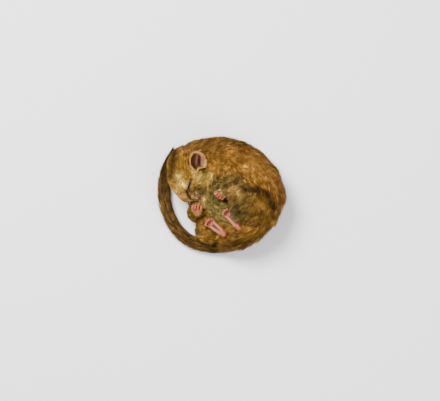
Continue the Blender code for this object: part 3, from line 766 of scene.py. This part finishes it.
def add_chain(bm, masses):
    """Adds rounded masses, each drawn together with the next."""
    for pair in list(zip(masses, masses[1:])) or [(masses[0],)]:
        verts = [bm.verts.new(matrix @ point) for matrix in pair for point in BALL]
        bmesh.ops.convex_hull(bm, input=verts)
        inside = [vert for vert in verts if vert.is_valid and not vert.link_faces]
        bmesh.ops.delete(bm, geom=inside, context="VERTS")


def add_claw(bm, root, heading, palm, length):
    """Adds a claw: a cone drawn from the digit's end, hooked towards the palm."""
    turn = heading.to_track_quat("Z", "Y").to_matrix().to_4x4()
    matrix = Matrix.Translation(place(root + heading * length * 0.35)) @ turn
    radii = {"radius1": 0.24 * MM, "radius2": 0.02 * MM, "depth": length * 1.3 * MM}
    made = bmesh.ops.create_cone(bm, cap_ends=True, segments=8, matrix=matrix, **radii)["verts"]
    sides = [
        edge
        for edge in {edge for vert in made for edge in vert.link_edges}
        if abs((edge.verts[0].co - edge.verts[1].co).dot(heading)) > 0.5 * length * MM
    ]
    bmesh.ops.subdivide_edges(bm, edges=sides, cuts=4)
    start = place(root)
    for vert in [vert for vert in bm.verts if (vert.co - start).length < length * 1.6 * MM]:
        far = max(0.0, (vert.co - start).dot(heading) / (length * MM))
        vert.co += palm * far * far * 0.42 * length * MM


def add_digit(bm, claws, root, ahead, palm, length, radius, curl, claw):
    """Adds one digit, bent towards the palm at each of its joints, with its pads and claw."""
    bend = Matrix.Rotation(-math.radians(curl), 3, palm.cross(ahead).normalized())
    point, heading = root, ahead.normalized()
    masses = [mass(point, radius * 1.1)]
    for share, pad in ((0.42, 1.04), (0.33, 1.04), (0.25, 1.14)):
        end = point + heading * length * share
        masses += [mass((point + end) / 2, radius * 0.94), mass(end, radius * pad)]
        point, heading = end, bend @ heading
    add_chain(bm, masses)
    tip = point + heading * radius * 0.5
    add_claw(claws, tip, (heading + palm * 0.2).normalized(), palm, claw)


bare_pieces = [nose]


def finish_paw(name, bm, claws, warm, clefts=()):
    bmesh.ops.recalc_face_normals(bm, faces=bm.faces)
    paw = object_of(name + "_skin", bm)
    grow_together(paw, PAW_GRAIN, 3)
    paw.data.shade_smooth()
    points, normals = spots_of(paw), normals_of(paw)
    dip, hollow = (
        ((spread_over(paw.data, points, times) - points) * normals).sum(1) / MM for times in (12, 60)
    )
    q = drawn(points)
    # painted shade along the given clefts
    cleft_shades = [near_line(q, [np.array(stop) for stop in stops], 0.5) for stops in clefts]
    paints = blend(
        PAW_SKIN,
        *((PAW_FLUSH, patch(q, spot, 2.4) * 0.85) for spot in warm),
        # painted shade darkens the hollows, the clefts between digits and pads, and the given clefts; a
        # painted highlight lightens the rises
        (PAW_FLUSH * 0.4, step_between(0.0, 0.2, hollow) * 0.9),
        (PAW_CREASE_SHADE, step_between(0.004, 0.035, spread_over(paw.data, dip, 2)) * 0.95),
        *((PAW_CREASE_SHADE, line * 0.9) for line in cleft_shades),
        (PAW_SKIN * 1.12, step_between(0.02, 0.12, -dip) * 0.4),
    )
    store(paw, "skin_colour", np.minimum(paints, 1))
    bare_pieces.append(paw)
    paw.data.materials.append(paw_skin)
    nails = object_of(name + "_claws", claws)
    nails.data.materials.append(horn)
    nails.data.shade_smooth()
    for piece in (paw, nails):
        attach(piece, "root")
    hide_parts(name)


FOREPAWS = {  # the wrist, the ways of digits and palm, and how many degrees each joint is bent
    "forepaw_left": ((2.0, 2.4, 24.4), (-0.6, -0.72, -0.2), (-0.45, 0.0, -0.9), 68),
    "forepaw_right": ((-11.0, -9.6, 12.8), (-0.2, 0.5, 0.8), (0.2, 0.8, -0.5), 84),
}
for name, (wrist, ahead, palm, curl) in FOREPAWS.items():
    bm, claws = bmesh.new(), bmesh.new()
    ahead, wrist = Vector(ahead).normalized(), Vector(wrist)
    palm = square_to(Vector(palm), ahead)
    across = palm.cross(ahead)
    hand = mass(wrist + ahead * 2.6, (1.5, 2.3, 1.2), ahead, palm)
    add_chain(bm, [mass(wrist, (1.5, 1.4, 1.3), ahead, palm), hand])
    for index, spread in enumerate((-1.95, -0.65, 0.65, 1.95)):
        root = wrist + ahead * (3.5 - 0.09 * spread * spread) + across * spread
        reach = 4.5 - 0.2 * abs(index - 1.4)
        add_digit(bm, claws, root, ahead + across * spread * 0.05, palm, reach, 0.52, curl, 0.8)
    for spread in (-1.2, 0.0, 1.2):
        pad = wrist + ahead * (3.1 - 0.35 * abs(spread)) + across * spread + palm * 0.9
        add_chain(bm, [mass(pad, 0.62)])
    thumb = wrist + ahead * 1.4 - across * 1.8 + palm * 0.6
    add_chain(bm, [mass(thumb, 0.58), mass(thumb + ahead * 0.9 - across * 0.25, 0.46)])
    finish_paw(name, bm, claws, [wrist + ahead * 4.5])

SOLE_WAY = Vector((-0.1, -0.1, 1))  # where the soles look
HINDFEET = {  # the heel and the roots of the toes
    "hindfoot_left": ((8.2, -15.8, 25.6), (2.2, -8.0, 22.0)),
    "hindfoot_right": ((1.0, -19.2, 17.0), (-6.6, -13.0, 15.2)),
}
for name, (heel, toes) in HINDFEET.items():
    bm, claws = bmesh.new(), bmesh.new()
    heel, toes = Vector(heel), Vector(toes)
    length = (toes - heel).length
    ahead = (toes - heel).normalized()
    palm = square_to(SOLE_WAY, ahead)
    across = palm.cross(ahead)
    ball_of_foot = heel + ahead * length * 0.72
    arch = mass(heel + ahead * length * 0.5, (1.6, 1.25, 0.9), ahead, palm)
    add_chain(bm, [mass(heel, (1.7, 1.45, 1.4), ahead, palm), arch])
    instep = mass(heel + ahead * length * 0.5, (1.2, 1.25, 0.85), ahead, palm)
    add_chain(bm, [instep, mass(ball_of_foot, (1.1, 2.1, 0.95), ahead, palm)])
    for edge in (-1, 1):
        start = heel + ahead * 1.2 + across * 0.80 * edge + palm * 0.62
        end = heel + ahead * length * 0.66 + across * 1.22 * edge + palm * 0.58
        add_chain(bm, [mass(start, 0.74), mass(end, 0.70)])
    for index, spread in enumerate((-1.85, -0.9, 0.05, 1.0, 1.85)):
        root = ball_of_foot + ahead * (0.9 - 0.12 * spread * spread) + across * spread
        reach = 2.4 if index == 0 else 3.7 - 0.2 * abs(index - 2.5)
        claw = 0.75 if index else 0.3
        add_digit(bm, claws, root, ahead + across * spread * 0.05, palm, reach, 0.44, 58, claw)
    for spread in (-1.25, 0.0, 1.25):
        pad = ball_of_foot + across * spread + palm * 0.72 - ahead * 0.15 * abs(spread)
        add_chain(bm, [mass(pad, 0.58)])
    # lines of painted shade: down the groove of the sole and across the fold at the toes' roots
    cleft = [heel + ahead * length * share + palm * 0.75 for share in (0.22, 0.62)]
    toe_fold = [ball_of_foot + ahead * 1.3 + across * edge + palm * 0.9 for edge in (-1.5, 1.5)]
    finish_paw(name, bm, claws, [heel, toes], [cleft, toe_fold])

# Coat. Every tuft is a thin tapered blade, rooted in the skin, that leans along the lie of the
# coat: back from the nose, round the trunk from neck to rump, down each limb to its paw.
# Neighbouring tufts draw together at their tips, as clean fur does.

LIMB_RUNS = {  # where the hair of each limb starts and where it runs to
    "upper_arm_left": ((3.6, 13.4, 22.4), (9.4, 8.2, 25.0)),
    "forearm_left": ((9.4, 8.2, 25.0), (2.2, 2.8, 24.6)),
    "thigh_left": ((15.2, -2.0, 26.0), (8.6, -15.0, 24.0)),
    "shank_left": ((13.0, -8.0, 25.0), (8.9, -17.0, 24.0)),
    "upper_arm_right": ((-2.5, 4.0, 8.0), (-12.0, -8.9, 7.0)),
    "forearm_right": ((-6.0, -4.0, 8.0), (-15.0, -9.4, 9.0)),
    "thigh_right": ((8.0, -15.5, 8.6), (-7.0, -17.0, 9.0)),
    "shank_right": ((4.0, -18.0, 9.0), (-6.0, -16.0, 12.0)),
}
HIP = np.array([21.5, 5.0, 29.0])  # where the hair of the left haunch starts
TUFTS = {  # the length and width of each, in mm, and how crowded they are
    "head": (3.0, 0.19, 2.1), "neck": (4.6, 0.24, 1.2), "chest": (5.0, 0.26, 1.0), "loin": (5.2, 0.26, 0.9),
    "rump": (5.2, 0.26, 0.95), "belly": (4.0, 0.22, 1.0), "upper_arm": (4.0, 0.22, 1.3),
    "forearm": (3.0, 0.18, 1.6), "thigh": (4.2, 0.23, 1.3), "shank": (3.4, 0.19, 1.4),
}
BODY_TUFTS = 119000
TAIL_TUFTS = 19500
TUFTS_IN_PIECE = 19500
GUARD_SHARE = 0.1  # how many are thin dark guard hairs, which stand a little out of the coat
GUARD_RISE, GUARD_WIDTH, GUARD_SHADE, GUARD_PULL = 1.5, 0.6, 0.65, 0.2  # against the other tufts
TUFTS_IN_CLUMP = 12
CLUMPS_IN_LOCK = 6
CLUMP_TONE, TUFT_TONE, LOCK_TONE = 0.34, 0.18, 0.24  # how much they differ in tone
ROOT_TO_TIP = (0.3,) * 3 + (0.86,) * 3 + (1.3,)  # the tone at each point of a tuft: dark at the root, from its own darker base and from painted shade deep in the coat, and light at the tip
DARKENING = (1.0,) * 3 + (0.6,) * 3 + (0.3,)  # for the share of them with dark tips
DARK_TIPS = 0.15
TUFT_CLEARANCE = 0.03 * MM
TUFT_ON_MAP = 0.0015
COVER_MARGIN = 0.06 * MM  # no tuft comes nearer to a bare piece
PIECES_OF_COAT = {name: (name,) for name in ("head",) + TRUNK[:4]}
PIECES_OF_COAT |= {"belly": ("belly", "upper_arm", "forearm"), "legs": ("thigh", "shank")}
dice = np.random.default_rng(5)

points, normals = spots_of(skin), normals_of(skin)
q = drawn(points)
ring = q - RING_CENTRE
ring[:, 2] = 0
outwards = unit(ring)
flow = np.stack([outwards[:, 1], -outwards[:, 0], np.zeros(len(q))], axis=1) - 0.3 * outwards
flow[:, 2] -= 0.12
from_tip = unit(q - (np.array(HEAD_CENTRE + AHEAD * 17.5 - CROWN * 2)))
flow = np.where((part_of == 0)[:, None], from_tip * 0.8 - np.array(AHEAD) * 0.7, flow)
for name, (start, end) in LIMB_RUNS.items():
    run = unit(np.array(end) - np.array(start))
    if name == "thigh_left":
        run = unit(unit(q - HIP) * 0.8 + run * 0.6)
    flow = np.where((part_of == FLESH.index(name))[:, None], run, flow)
flow = spread_over(skin.data, unit(flow), 16)
for wrist, ahead, _, _ in FOREPAWS.values():
    flow += unit(np.array(ahead)) * patch(q, wrist, 3.2)[:, None] * 1.6
for eye in EYE_FRAMES:
    away = unit(points - np.array(middle_of(eye)))
    flow += away * patch(points, middle_of(eye), 3.4 * MM)[:, None] * 0.25
length, width, crowding = (
    spread_over(skin.data, column, times) for column, times in zip(by_part(TUFTS).T, (45, 16, 10))
)
face = step_between(22, 3, gap_to(points, LIP))
length *= 1 - 0.72 * face
width *= 1 - 0.42 * face
crowding *= 1 + 1.6 * face
for paw in PAWS:
    near = step_between(9, 2.5, gap_to(points, middle_of(paw)))
    length *= 1 - 0.5 * near
    width *= 1 - 0.25 * near


def unwrap_of(obj):
    """Unwraps a piece, and gives the place of each of its corners on that map."""
    bpy.ops.object.select_all(action="DESELECT")
    bpy.context.view_layer.objects.active = obj
    obj.select_set(True)
    bpy.ops.object.mode_set(mode="EDIT")
    bpy.ops.mesh.select_all(action="SELECT")
    bpy.ops.uv.smart_project(angle_limit=math.radians(66), island_margin=0.002)
    bpy.ops.object.mode_set(mode="OBJECT")
    return array_of(obj.data.uv_layers.active.data, "uv", 2)


def stops_of(roots, lean, normals, lengths, rise):
    """Where the middles and the tips of tufts are."""
    for along, out in ((0.45, 0.74), (0.94, 1.0)):
        yield roots + lean * (lengths * along)[:, None] + normals * (rise * out)[:, None]


def blades(name, slot, roots, lean, normals, lengths, rise, widths, paint, spots, pull, clumps):
    """Makes one piece of coat out of arrays with a row for each tuft."""
    count = len(roots)
    lean = unit(lean - normals * (lean * normals).sum(1, keepdims=True))
    side = np.cross(lean, normals)
    middles, tips = stops_of(roots, lean, normals, lengths, rise)
    leader = clumps[nearest(roots[clumps], roots)]
    tips += (tips[leader] - tips) * pull[:, None]
    middles += (middles[leader] - middles) * pull[:, None] * 0.35
    tone = np.exp(dice.normal(0, CLUMP_TONE, count))[leader] * np.exp(dice.normal(0, TUFT_TONE, count))
    lock_tone = np.exp(dice.normal(0, LOCK_TONE, len(clumps)))
    tone *= lock_tone[nearest(roots[clumps[::CLUMPS_IN_LOCK]], roots)]
    dark = dice.random(count) < DARK_TIPS
    shape = np.empty((count, 7, 3))
    for row, (middle, wide) in enumerate(((roots, 0.4), (middles, 0.5))):
        half = side * (widths * wide)[:, None]
        shape[:, row * 3] = middle - half
        shape[:, row * 3 + 1] = middle + normals * (widths * wide * 0.8)[:, None]
        shape[:, row * 3 + 2] = middle + half
    shape[:, 6] = tips
    shape[:, :, 2] = above_floor(shape[:, :, 2], TUFT_CLEARANCE, 0.3 * MM)
    faces = ((0, 2, 1), (0, 1, 4), (0, 4, 3), (1, 2, 5), (1, 5, 4), (2, 0, 3), (2, 3, 5))
    faces = np.array(faces + ((3, 4, 6), (4, 5, 6), (5, 3, 6)))
    a, b, c = (shape[0, faces[:, corner]] for corner in range(3))
    if np.einsum("ij,ij->i", a - roots[0], np.cross(b - roots[0], c - roots[0])).sum() < 0:
        faces = faces[:, ::-1]
    every = (np.arange(count)[:, None, None] * 7 + faces[None]).reshape(-1)
    mesh = bpy.data.meshes.new(name)
    mesh.from_pydata(shape.reshape(-1, 3), [], every.reshape(-1, 3), shade_flat=False)
    coat = put_in(name, mesh)
    shades = np.array(ROOT_TO_TIP) * tone[:, None] * np.where(dark[:, None], np.array(DARKENING), 1)
    store(coat, "coat_colour", (paint[:, None, :] * shades[:, :, None]).reshape(-1, 3))
    corners = [(-1, -1), (0, -1), (1, -1), (-1, 0.3), (0, 0.3), (1, 0.3), (0, 1)]
    uv = (spots[:, None, :] + np.array(corners) * TUFT_ON_MAP).reshape(-1, 2)
    coat.data.uv_layers.new(name="OFBake").data.foreach_set("uv", uv[every].astype(np.float32).ravel())
    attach(coat, "root")
    coats.append(coat)


def scatter(obj, crowding, count):
    """Picks places on a piece at random: the corners, their loops and how much of each."""
    obj.data.calc_loop_triangles()
    corners, loops = (array_of(obj.data.loop_triangles, kind, 3, int) for kind in ("vertices", "loops"))
    a, b, c = (spots_of(obj)[corners[:, corner]] for corner in range(3))
    chances = size(np.cross(b - a, c - a)) * crowding[corners].mean(1)
    chosen = np.sort(dice.choice(len(corners), count, p=chances / chances.sum()))
    mix = np.sqrt(dice.random(count))
    other = dice.random(count)
    return corners[chosen], loops[chosen], np.stack([1 - mix, mix * (1 - other), mix * other], axis=1)


def mixed(values, corners, weights):
    return (values.reshape(len(values), -1)[corners] * weights[:, :, None]).sum(1)


corners, loops, weights = scatter(skin, crowding, BODY_TUFTS)
roots = mixed(points, corners, weights)
root_normals = unit(mixed(normals, corners, weights))
lean = unit(mixed(flow, corners, weights)) + dice.normal(0, 0.13, (BODY_TUFTS, 3))
lengths = mixed(length, corners, weights)[:, 0] * dice.uniform(0.75, 1.15, BODY_TUFTS) * MM
widths = mixed(width, corners, weights)[:, 0] * dice.uniform(0.8, 1.2, BODY_TUFTS) * MM
rise = mixed(depth, corners, weights)[:, 0] * dice.uniform(0.55, 1.12, BODY_TUFTS) * MM
guard = dice.random(BODY_TUFTS) < GUARD_SHARE
rise *= np.where(guard, GUARD_RISE, 1)
widths *= np.where(guard, GUARD_WIDTH, 1)
level = unit(lean - root_normals * (lean * root_normals).sum(1, keepdims=True))
paints = coat_colours(roots + level * (lengths * 0.6)[:, None])  # a tuft shows its outer half
paints *= np.where(guard, GUARD_SHADE, 1)[:, None]
spots = mixed(unwrap_of(skin), loops, weights)
keep = np.ones(BODY_TUFTS, bool)


def surface_of(obj):
    polygons = [polygon.vertices for polygon in obj.data.polygons]
    return BVHTree.FromPolygons([vert.co for vert in obj.data.vertices], polygons)


def covers(spots, obj, margin):
    """Which of the spots lie inside a bare piece, or nearer to its surface than the margin."""
    tree, corner = surface_of(obj), spots_of(obj)
    close = np.flatnonzero(((spots > corner.min(0) - margin) & (spots < corner.max(0) + margin)).all(1))
    inside = np.zeros(len(spots), bool)
    for row in close:
        found, way, _, gap = tree.find_nearest(Vector(spots[row]))
        inside[row] = gap < margin or (Vector(spots[row]) - found).dot(way) < 0
    return inside


for reached in stops_of(roots, level, root_normals, lengths, rise):
    for piece in bare_pieces:
        keep &= ~covers(reached, piece, COVER_MARGIN)
    for name in EAR_FRAMES:
        _, _, ring_share, height = on_ear(name, reached)
        wall = -1.2 - 2.2 * np.sqrt(np.clip(1 - ring_share**2, 0, 1))
        keep &= ~((ring_share < 1.06) & (height > wall))
    for name in EYE_FRAMES:
        u, v, _, w, _ = on_eye(name, reached)
        keep &= ~((np.abs(u) < 0.98) & (np.abs(v) < 0.95) & (w > -0.5))
lain_on = (root_normals[:, 2] < -0.55) & (roots[:, 2] < 1.6 * MM)
keep &= ~lain_on
part_of_root = part_of[corners[np.arange(BODY_TUFTS), weights.argmax(1)]]
coats = []
for group, kinds in PIECES_OF_COAT.items():
    owners = [index for index, name in enumerate(FLESH) if name.startswith(kinds)]
    rows = dice.permutation(np.flatnonzero(keep & np.isin(part_of_root, owners)))
    for number, start in enumerate(range(0, len(rows), TUFTS_IN_PIECE)):
        few = np.sort(rows[start : start + TUFTS_IN_PIECE])
        clumps = dice.choice(len(few), max(1, len(few) // TUFTS_IN_CLUMP), replace=False)
        pull = dice.uniform(0.25, 0.7, len(few)) * np.where(guard[few], GUARD_PULL, 1)
        tufts = (roots, lean, root_normals, lengths, rise, widths, paints, spots)
        slot = "coat_belly" if group == "belly" else "coat_back"
        blades(f"coat_{group}_{number + 1}", slot, *(values[few] for values in tufts), pull, clumps)

# Down. Short fine hair covers the backs of the ears, the lids but for their bare edges, the backs
# of the hands and the sides of the feet. The lids' edges carry a row of short dark lashes.

PAW_DOWN = colour(190, 146, 84)


def down_on(name, obj, crowding, count, flow, length, width, rise, paints):
    """Short hair on a small piece, with its length, width and rise in mm."""
    flow, paints = (np.broadcast_to(values, (len(crowding), 3)) for values in (flow, paints))
    corners, loops, weights = scatter(obj, crowding, count)
    roots = mixed(spots_of(obj), corners, weights)
    normals = unit(mixed(normals_of(obj), corners, weights))
    lean = unit(mixed(flow, corners, weights)) + dice.normal(0, 0.16, (count, 3))
    spots = mixed(unwrap_of(obj), loops, weights)
    scale = dice.uniform(0.7, 1.2, count) * MM
    clumps = dice.choice(count, max(1, count // 6), replace=False)
    blades(
        name, "coat_back", roots, lean, normals, length * scale, rise * scale, np.full(count, width * MM),
        mixed(paints, corners, weights), spots, dice.uniform(0.1, 0.4, count), clumps,
    )


for name, (_, along, _, _) in EAR_FRAMES.items():
    ear = bpy.data.objects[name + "_skin"]
    reach, _, ring_share, _ = on_ear(name, spots_of(ear))
    back = np.maximum(EAR_BACKS[name], 0.3 * step_between(0.8, 0.95, ring_share))
    down = blend(EAR_BACK, (CHEEK, step_between(-0.4, -0.8, reach)))
    down_on("down_" + name, ear, back, 4200, np.array(along), 0.95, 0.09, 0.22, down)
for name, (_, along, across, _, _) in EYE_FRAMES.items():
    lids = bpy.data.objects[name + "_lids"]
    along, across = np.array(along), np.array(across)
    u, _, gap, w, taper = on_eye(name, spots_of(lids))
    bare = np.where(gap > 0, 0.85, 0.5) * taper
    haired = step_between(0, 0.4, np.abs(gap) - bare) * (w > -0.6) + 1e-7
    away = across * (np.sign(gap) * 0.5)[:, None] - along * 0.9
    down = coat_colours(spots_of(lids))
    down_on("down_" + name, lids, haired, 2200, away, 1.5, 0.15, 0.4, down)
    edge = np.exp(-(((gap - LASH_ROOTS) / 0.1) ** 2)) * (np.abs(u) < 0.93) * (w > 0) + 1e-9
    down_on("lashes_" + name, lids, edge, 90, along * 0.5 - across, 0.9, 0.05, 0.35, LID_DARK * 0.5)
backs = [(name, wrist, ahead, palm, 2.6, 4.4) for name, (wrist, ahead, palm, _) in FOREPAWS.items()]
for name, (heel, toes) in HINDFEET.items():
    backs.append((name, heel, Vector(toes) - Vector(heel), SOLE_WAY, 4.5, 7.0))
for name, root, ahead, palm, full, end in backs:
    paw = bpy.data.objects[name + "_skin"]
    haired = step_between(0.35, -0.15, normals_of(paw) @ unit(np.array(palm)))
    haired *= step_between(end, full, gap_to(spots_of(paw), place(root)))
    count = 900
    down_on("down_" + name, paw, haired, count, unit(np.array(ahead)), 1.3, 0.09, 0.3, PAW_DOWN)

# Tail hair. It is long, loose and darker towards the end, with light and dark streaks. It lies
# back along the tail and out to its sides, and runs on past the tip.

TAIL_HAIR = (5.0, 9.5)
TAIL_REACH = 3.6
HAIR_FROM = 0.04  # as a share of the tail's length
HAIR_CLEARANCE = 0.2 * MM
HAIR_WIDTH = 0.2 * MM
shares = dice.random(TAIL_TUFTS) * (1 - HAIR_FROM) + HAIR_FROM
turns = dice.random(TAIL_TUFTS) * math.tau
girth = tail_girth(shares)
out = tail_spokes(shares, turns)
sunk = TAIL_SKIN * 0.8 * girth  # the hair is rooted a little inside the skin
tail_roots = tail_points(shares) + out * sunk[:, None]
hair = dice.uniform(*TAIL_HAIR, TAIL_TUFTS) * (0.75 + 0.25 * girth) * MM
bend = unit(tail_points(shares + hair / TAIL_LENGTH) - tail_points(shares))
bend += dice.normal(0, 0.07, (TAIL_TUFTS, 3))
reach = dice.uniform(0.45, 1.05, TAIL_TUFTS) * (TAIL_REACH * girth * MM - sunk)
reach *= 0.4 + 0.6 * step_between(HAIR_FROM, 0.13, shares)
room = (tail_roots[:, 2] - HAIR_CLEARANCE) / np.maximum(-out[:, 2], 0.2)
low = tail_roots[:, 2] + out[:, 2] * reach < HAIR_CLEARANCE
reach = np.where(low, np.maximum(0.1 * MM, room), reach)
tail_paint = blend(
    TAIL_COAT,
    (TAIL_DARK, step_between(0.62, 0.95, shares) * 0.8),
    (TAIL_LIGHT, 0.7 * (dice.random(TAIL_TUFTS) < 0.3) * step_between(1.0, 0.6, shares)),
    (TAIL_DARK, 0.7 * (dice.random(TAIL_TUFTS) < 0.3)),
)
clumps = dice.choice(TAIL_TUFTS, TAIL_TUFTS // TUFTS_IN_CLUMP, replace=False)
on_map = np.stack([shares, turns / math.tau], axis=1) * 0.98 + 0.01
blades(
    "coat_tail", "coat_tail", tail_roots, bend, out, hair, reach, np.full(TAIL_TUFTS, HAIR_WIDTH),
    tail_paint, on_map, dice.uniform(0.2, 0.6, TAIL_TUFTS), clumps,
)

# Fur finish. Hair and the skin under it have the colours of their markings, a little mottled,
# with a soft warm gloss. The skin is darker, as it lies in the shade of the coat.


def fur_finish(name, grain, grain_depth):
    material, shader = finish(
        name, Roughness=0.6, Specular_IOR_Level=0.18, Specular_Tint=(1.0, 0.72, 0.38, 1)
    )
    shade = add_node(material, "MapRange", From_Min=0.3, From_Max=0.7, To_Min=0.72, To_Max=1.22)
    join(add_noise(material, 900, 3), "Fac", shade, "Value")
    mottled = add_node(material, "VectorMath")
    mottled.operation = "SCALE"
    join(mesh_colour(material, "coat_colour"), "Color", mottled, "Vector")
    join(shade, "Result", mottled, "Scale")
    join(mottled, "Vector", shader, "Base Color")
    add_bump(material, shader, add_noise(material, grain, 2), 0.6, grain_depth)
    return material


store(skin, "coat_colour", coat_colours(points) * 0.38)
store(tail_skin, "coat_colour", np.tile(TAIL_DARK * 0.6, (len(tail_skin.data.vertices), 1)))
fur = fur_finish("fur", 6000, 0.00003)
undercoat = fur_finish("undercoat", 2600, 0.00025)
for coat in coats:
    coat.data.materials.append(fur)
for obj in (skin, tail_skin):
    obj.data.materials.clear()
    obj.data.materials.append(undercoat)

# Whiskers. Long dark tapered hairs from rows on the pad at each side of the muzzle, swept back
# and out. Each is stiff horn, rooted in the skin, and bends away from the floor.

WHISKER_WIDTH = 0.045 * MM
WHISKER_STOPS = 9
WHISKER_CLEARANCE = 0.4 * MM
skin_tree = surface_of(skin)
bm = bmesh.new()
for side in (1, -1):
    for ahead, up in WHISKER_ROOTS:
        spot, way, _, _ = skin_tree.ray_cast(head_place(ahead, up, 0), OUT * side)
        if spot is None:
            continue
        back = 14 - ahead
        pace = (8 + 1.9 * back) * float(dice.uniform(0.8, 1.1)) / (WHISKER_STOPS - 1) * MM
        spread = (up + 4.0) / 1.3
        heading = way * 0.9 + OUT * side * 0.35 + CROWN * 0.75 * spread
        heading -= AHEAD * (0.1 * back - 0.35 * abs(spread))
        heading = (heading + Vector(dice.normal(0, 0.1, 3))).normalized()
        droop = -AHEAD * 0.35 + CROWN * 0.5 * spread - OUT * side * 0.45
        ring = bmesh.ops.create_circle(bm, segments=4, radius=WHISKER_WIDTH)["verts"]
        turn = heading.to_track_quat("Z", "Y").to_matrix().to_4x4()
        bmesh.ops.transform(bm, matrix=Matrix.Translation(spot - heading * 0.4 * MM) @ turn, verts=ring)
        for step in range(1, WHISKER_STOPS):
            edges = {edge for vert in ring for edge in vert.link_edges if set(edge.verts) <= set(ring)}
            ring = draw_out(bm, list(edges))
            heading = (heading + droop * 0.11).normalized()
            low = ring[0].co.z + heading.z * pace
            if low < WHISKER_CLEARANCE:
                heading.z += (WHISKER_CLEARANCE - low) / pace
                heading.normalize()
            bmesh.ops.translate(bm, vec=heading * pace, verts=ring)
            middle = sum((vert.co for vert in ring), Vector()) / len(ring)
            for vert in ring:
                vert.co = middle + (vert.co - middle) * (0.86 if step < WHISKER_STOPS - 1 else 0.3)
                vert.co.z = float(above_floor(vert.co.z, 0.1 * MM, 0.2 * MM))
bmesh.ops.holes_fill(bm, edges=[edge for edge in bm.edges if edge.is_boundary], sides=4)
bmesh.ops.recalc_face_normals(bm, faces=bm.faces)
whiskers = object_of("whiskers", bm)
whisker_horn, _ = finish("whisker_horn", Base_Color=(0.035, 0.022, 0.014, 1), Roughness=0.4)
whiskers.data.materials.append(whisker_horn)
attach(whiskers, "root")

# Floor, light and camera. The animal lies on a plain pale sheet in soft light from above and
# from the upper left, and is looked straight down at, as the picture shows it.

PICTURE_WIDTH = 213.4 * MM  # what the picture's width spans at the animal's middle height
PICTURE_MIDDLE = (-0.73, -3.15, 0)
CAMERA_LENS = 100
CAMERA_SENSOR = 36
MIDDLE_HEIGHT = 15 * MM
FLOOR_REACH = 1.6
bm = bmesh.new()
bmesh.ops.create_grid(bm, x_segments=1, y_segments=1, size=FLOOR_REACH)
floor = object_of("floor", bm)
sheet, _ = finish("pale_sheet", Base_Color=(0.97, 0.97, 0.975, 1), Roughness=0.9)
floor.data.materials.append(sheet)


def soft_light(name, position, size, power):
    light = bpy.data.lights.new(name, "AREA")
    light.shape = "DISK"
    light.size = size
    light.energy = power
    lamp = put_in(name, light)
    lamp.location = position
    lamp.rotation_euler = (-Vector(position)).to_track_quat("-Z", "Y").to_euler()


soft_light("key_light", (-0.28, 0.34, 0.7), 0.35, 15)
soft_light("fill_light", (0.5, -0.4, 0.5), 0.5, 4)
world = bpy.data.worlds.new("studio")
world.use_nodes = True
with_inputs(world.node_tree.nodes["Background"], {"Color": (1, 1, 1, 1), "Strength": 0.8})
bpy.context.scene.world = world

camera = put_in("camera", bpy.data.cameras.new("camera"))
camera.data.lens = CAMERA_LENS
camera.data.sensor_width = CAMERA_SENSOR
camera.data.clip_start = 0.01
camera.location = place(PICTURE_MIDDLE)
camera.location.z = MIDDLE_HEIGHT + PICTURE_WIDTH * CAMERA_LENS / CAMERA_SENSOR
bpy.context.scene.camera = camera
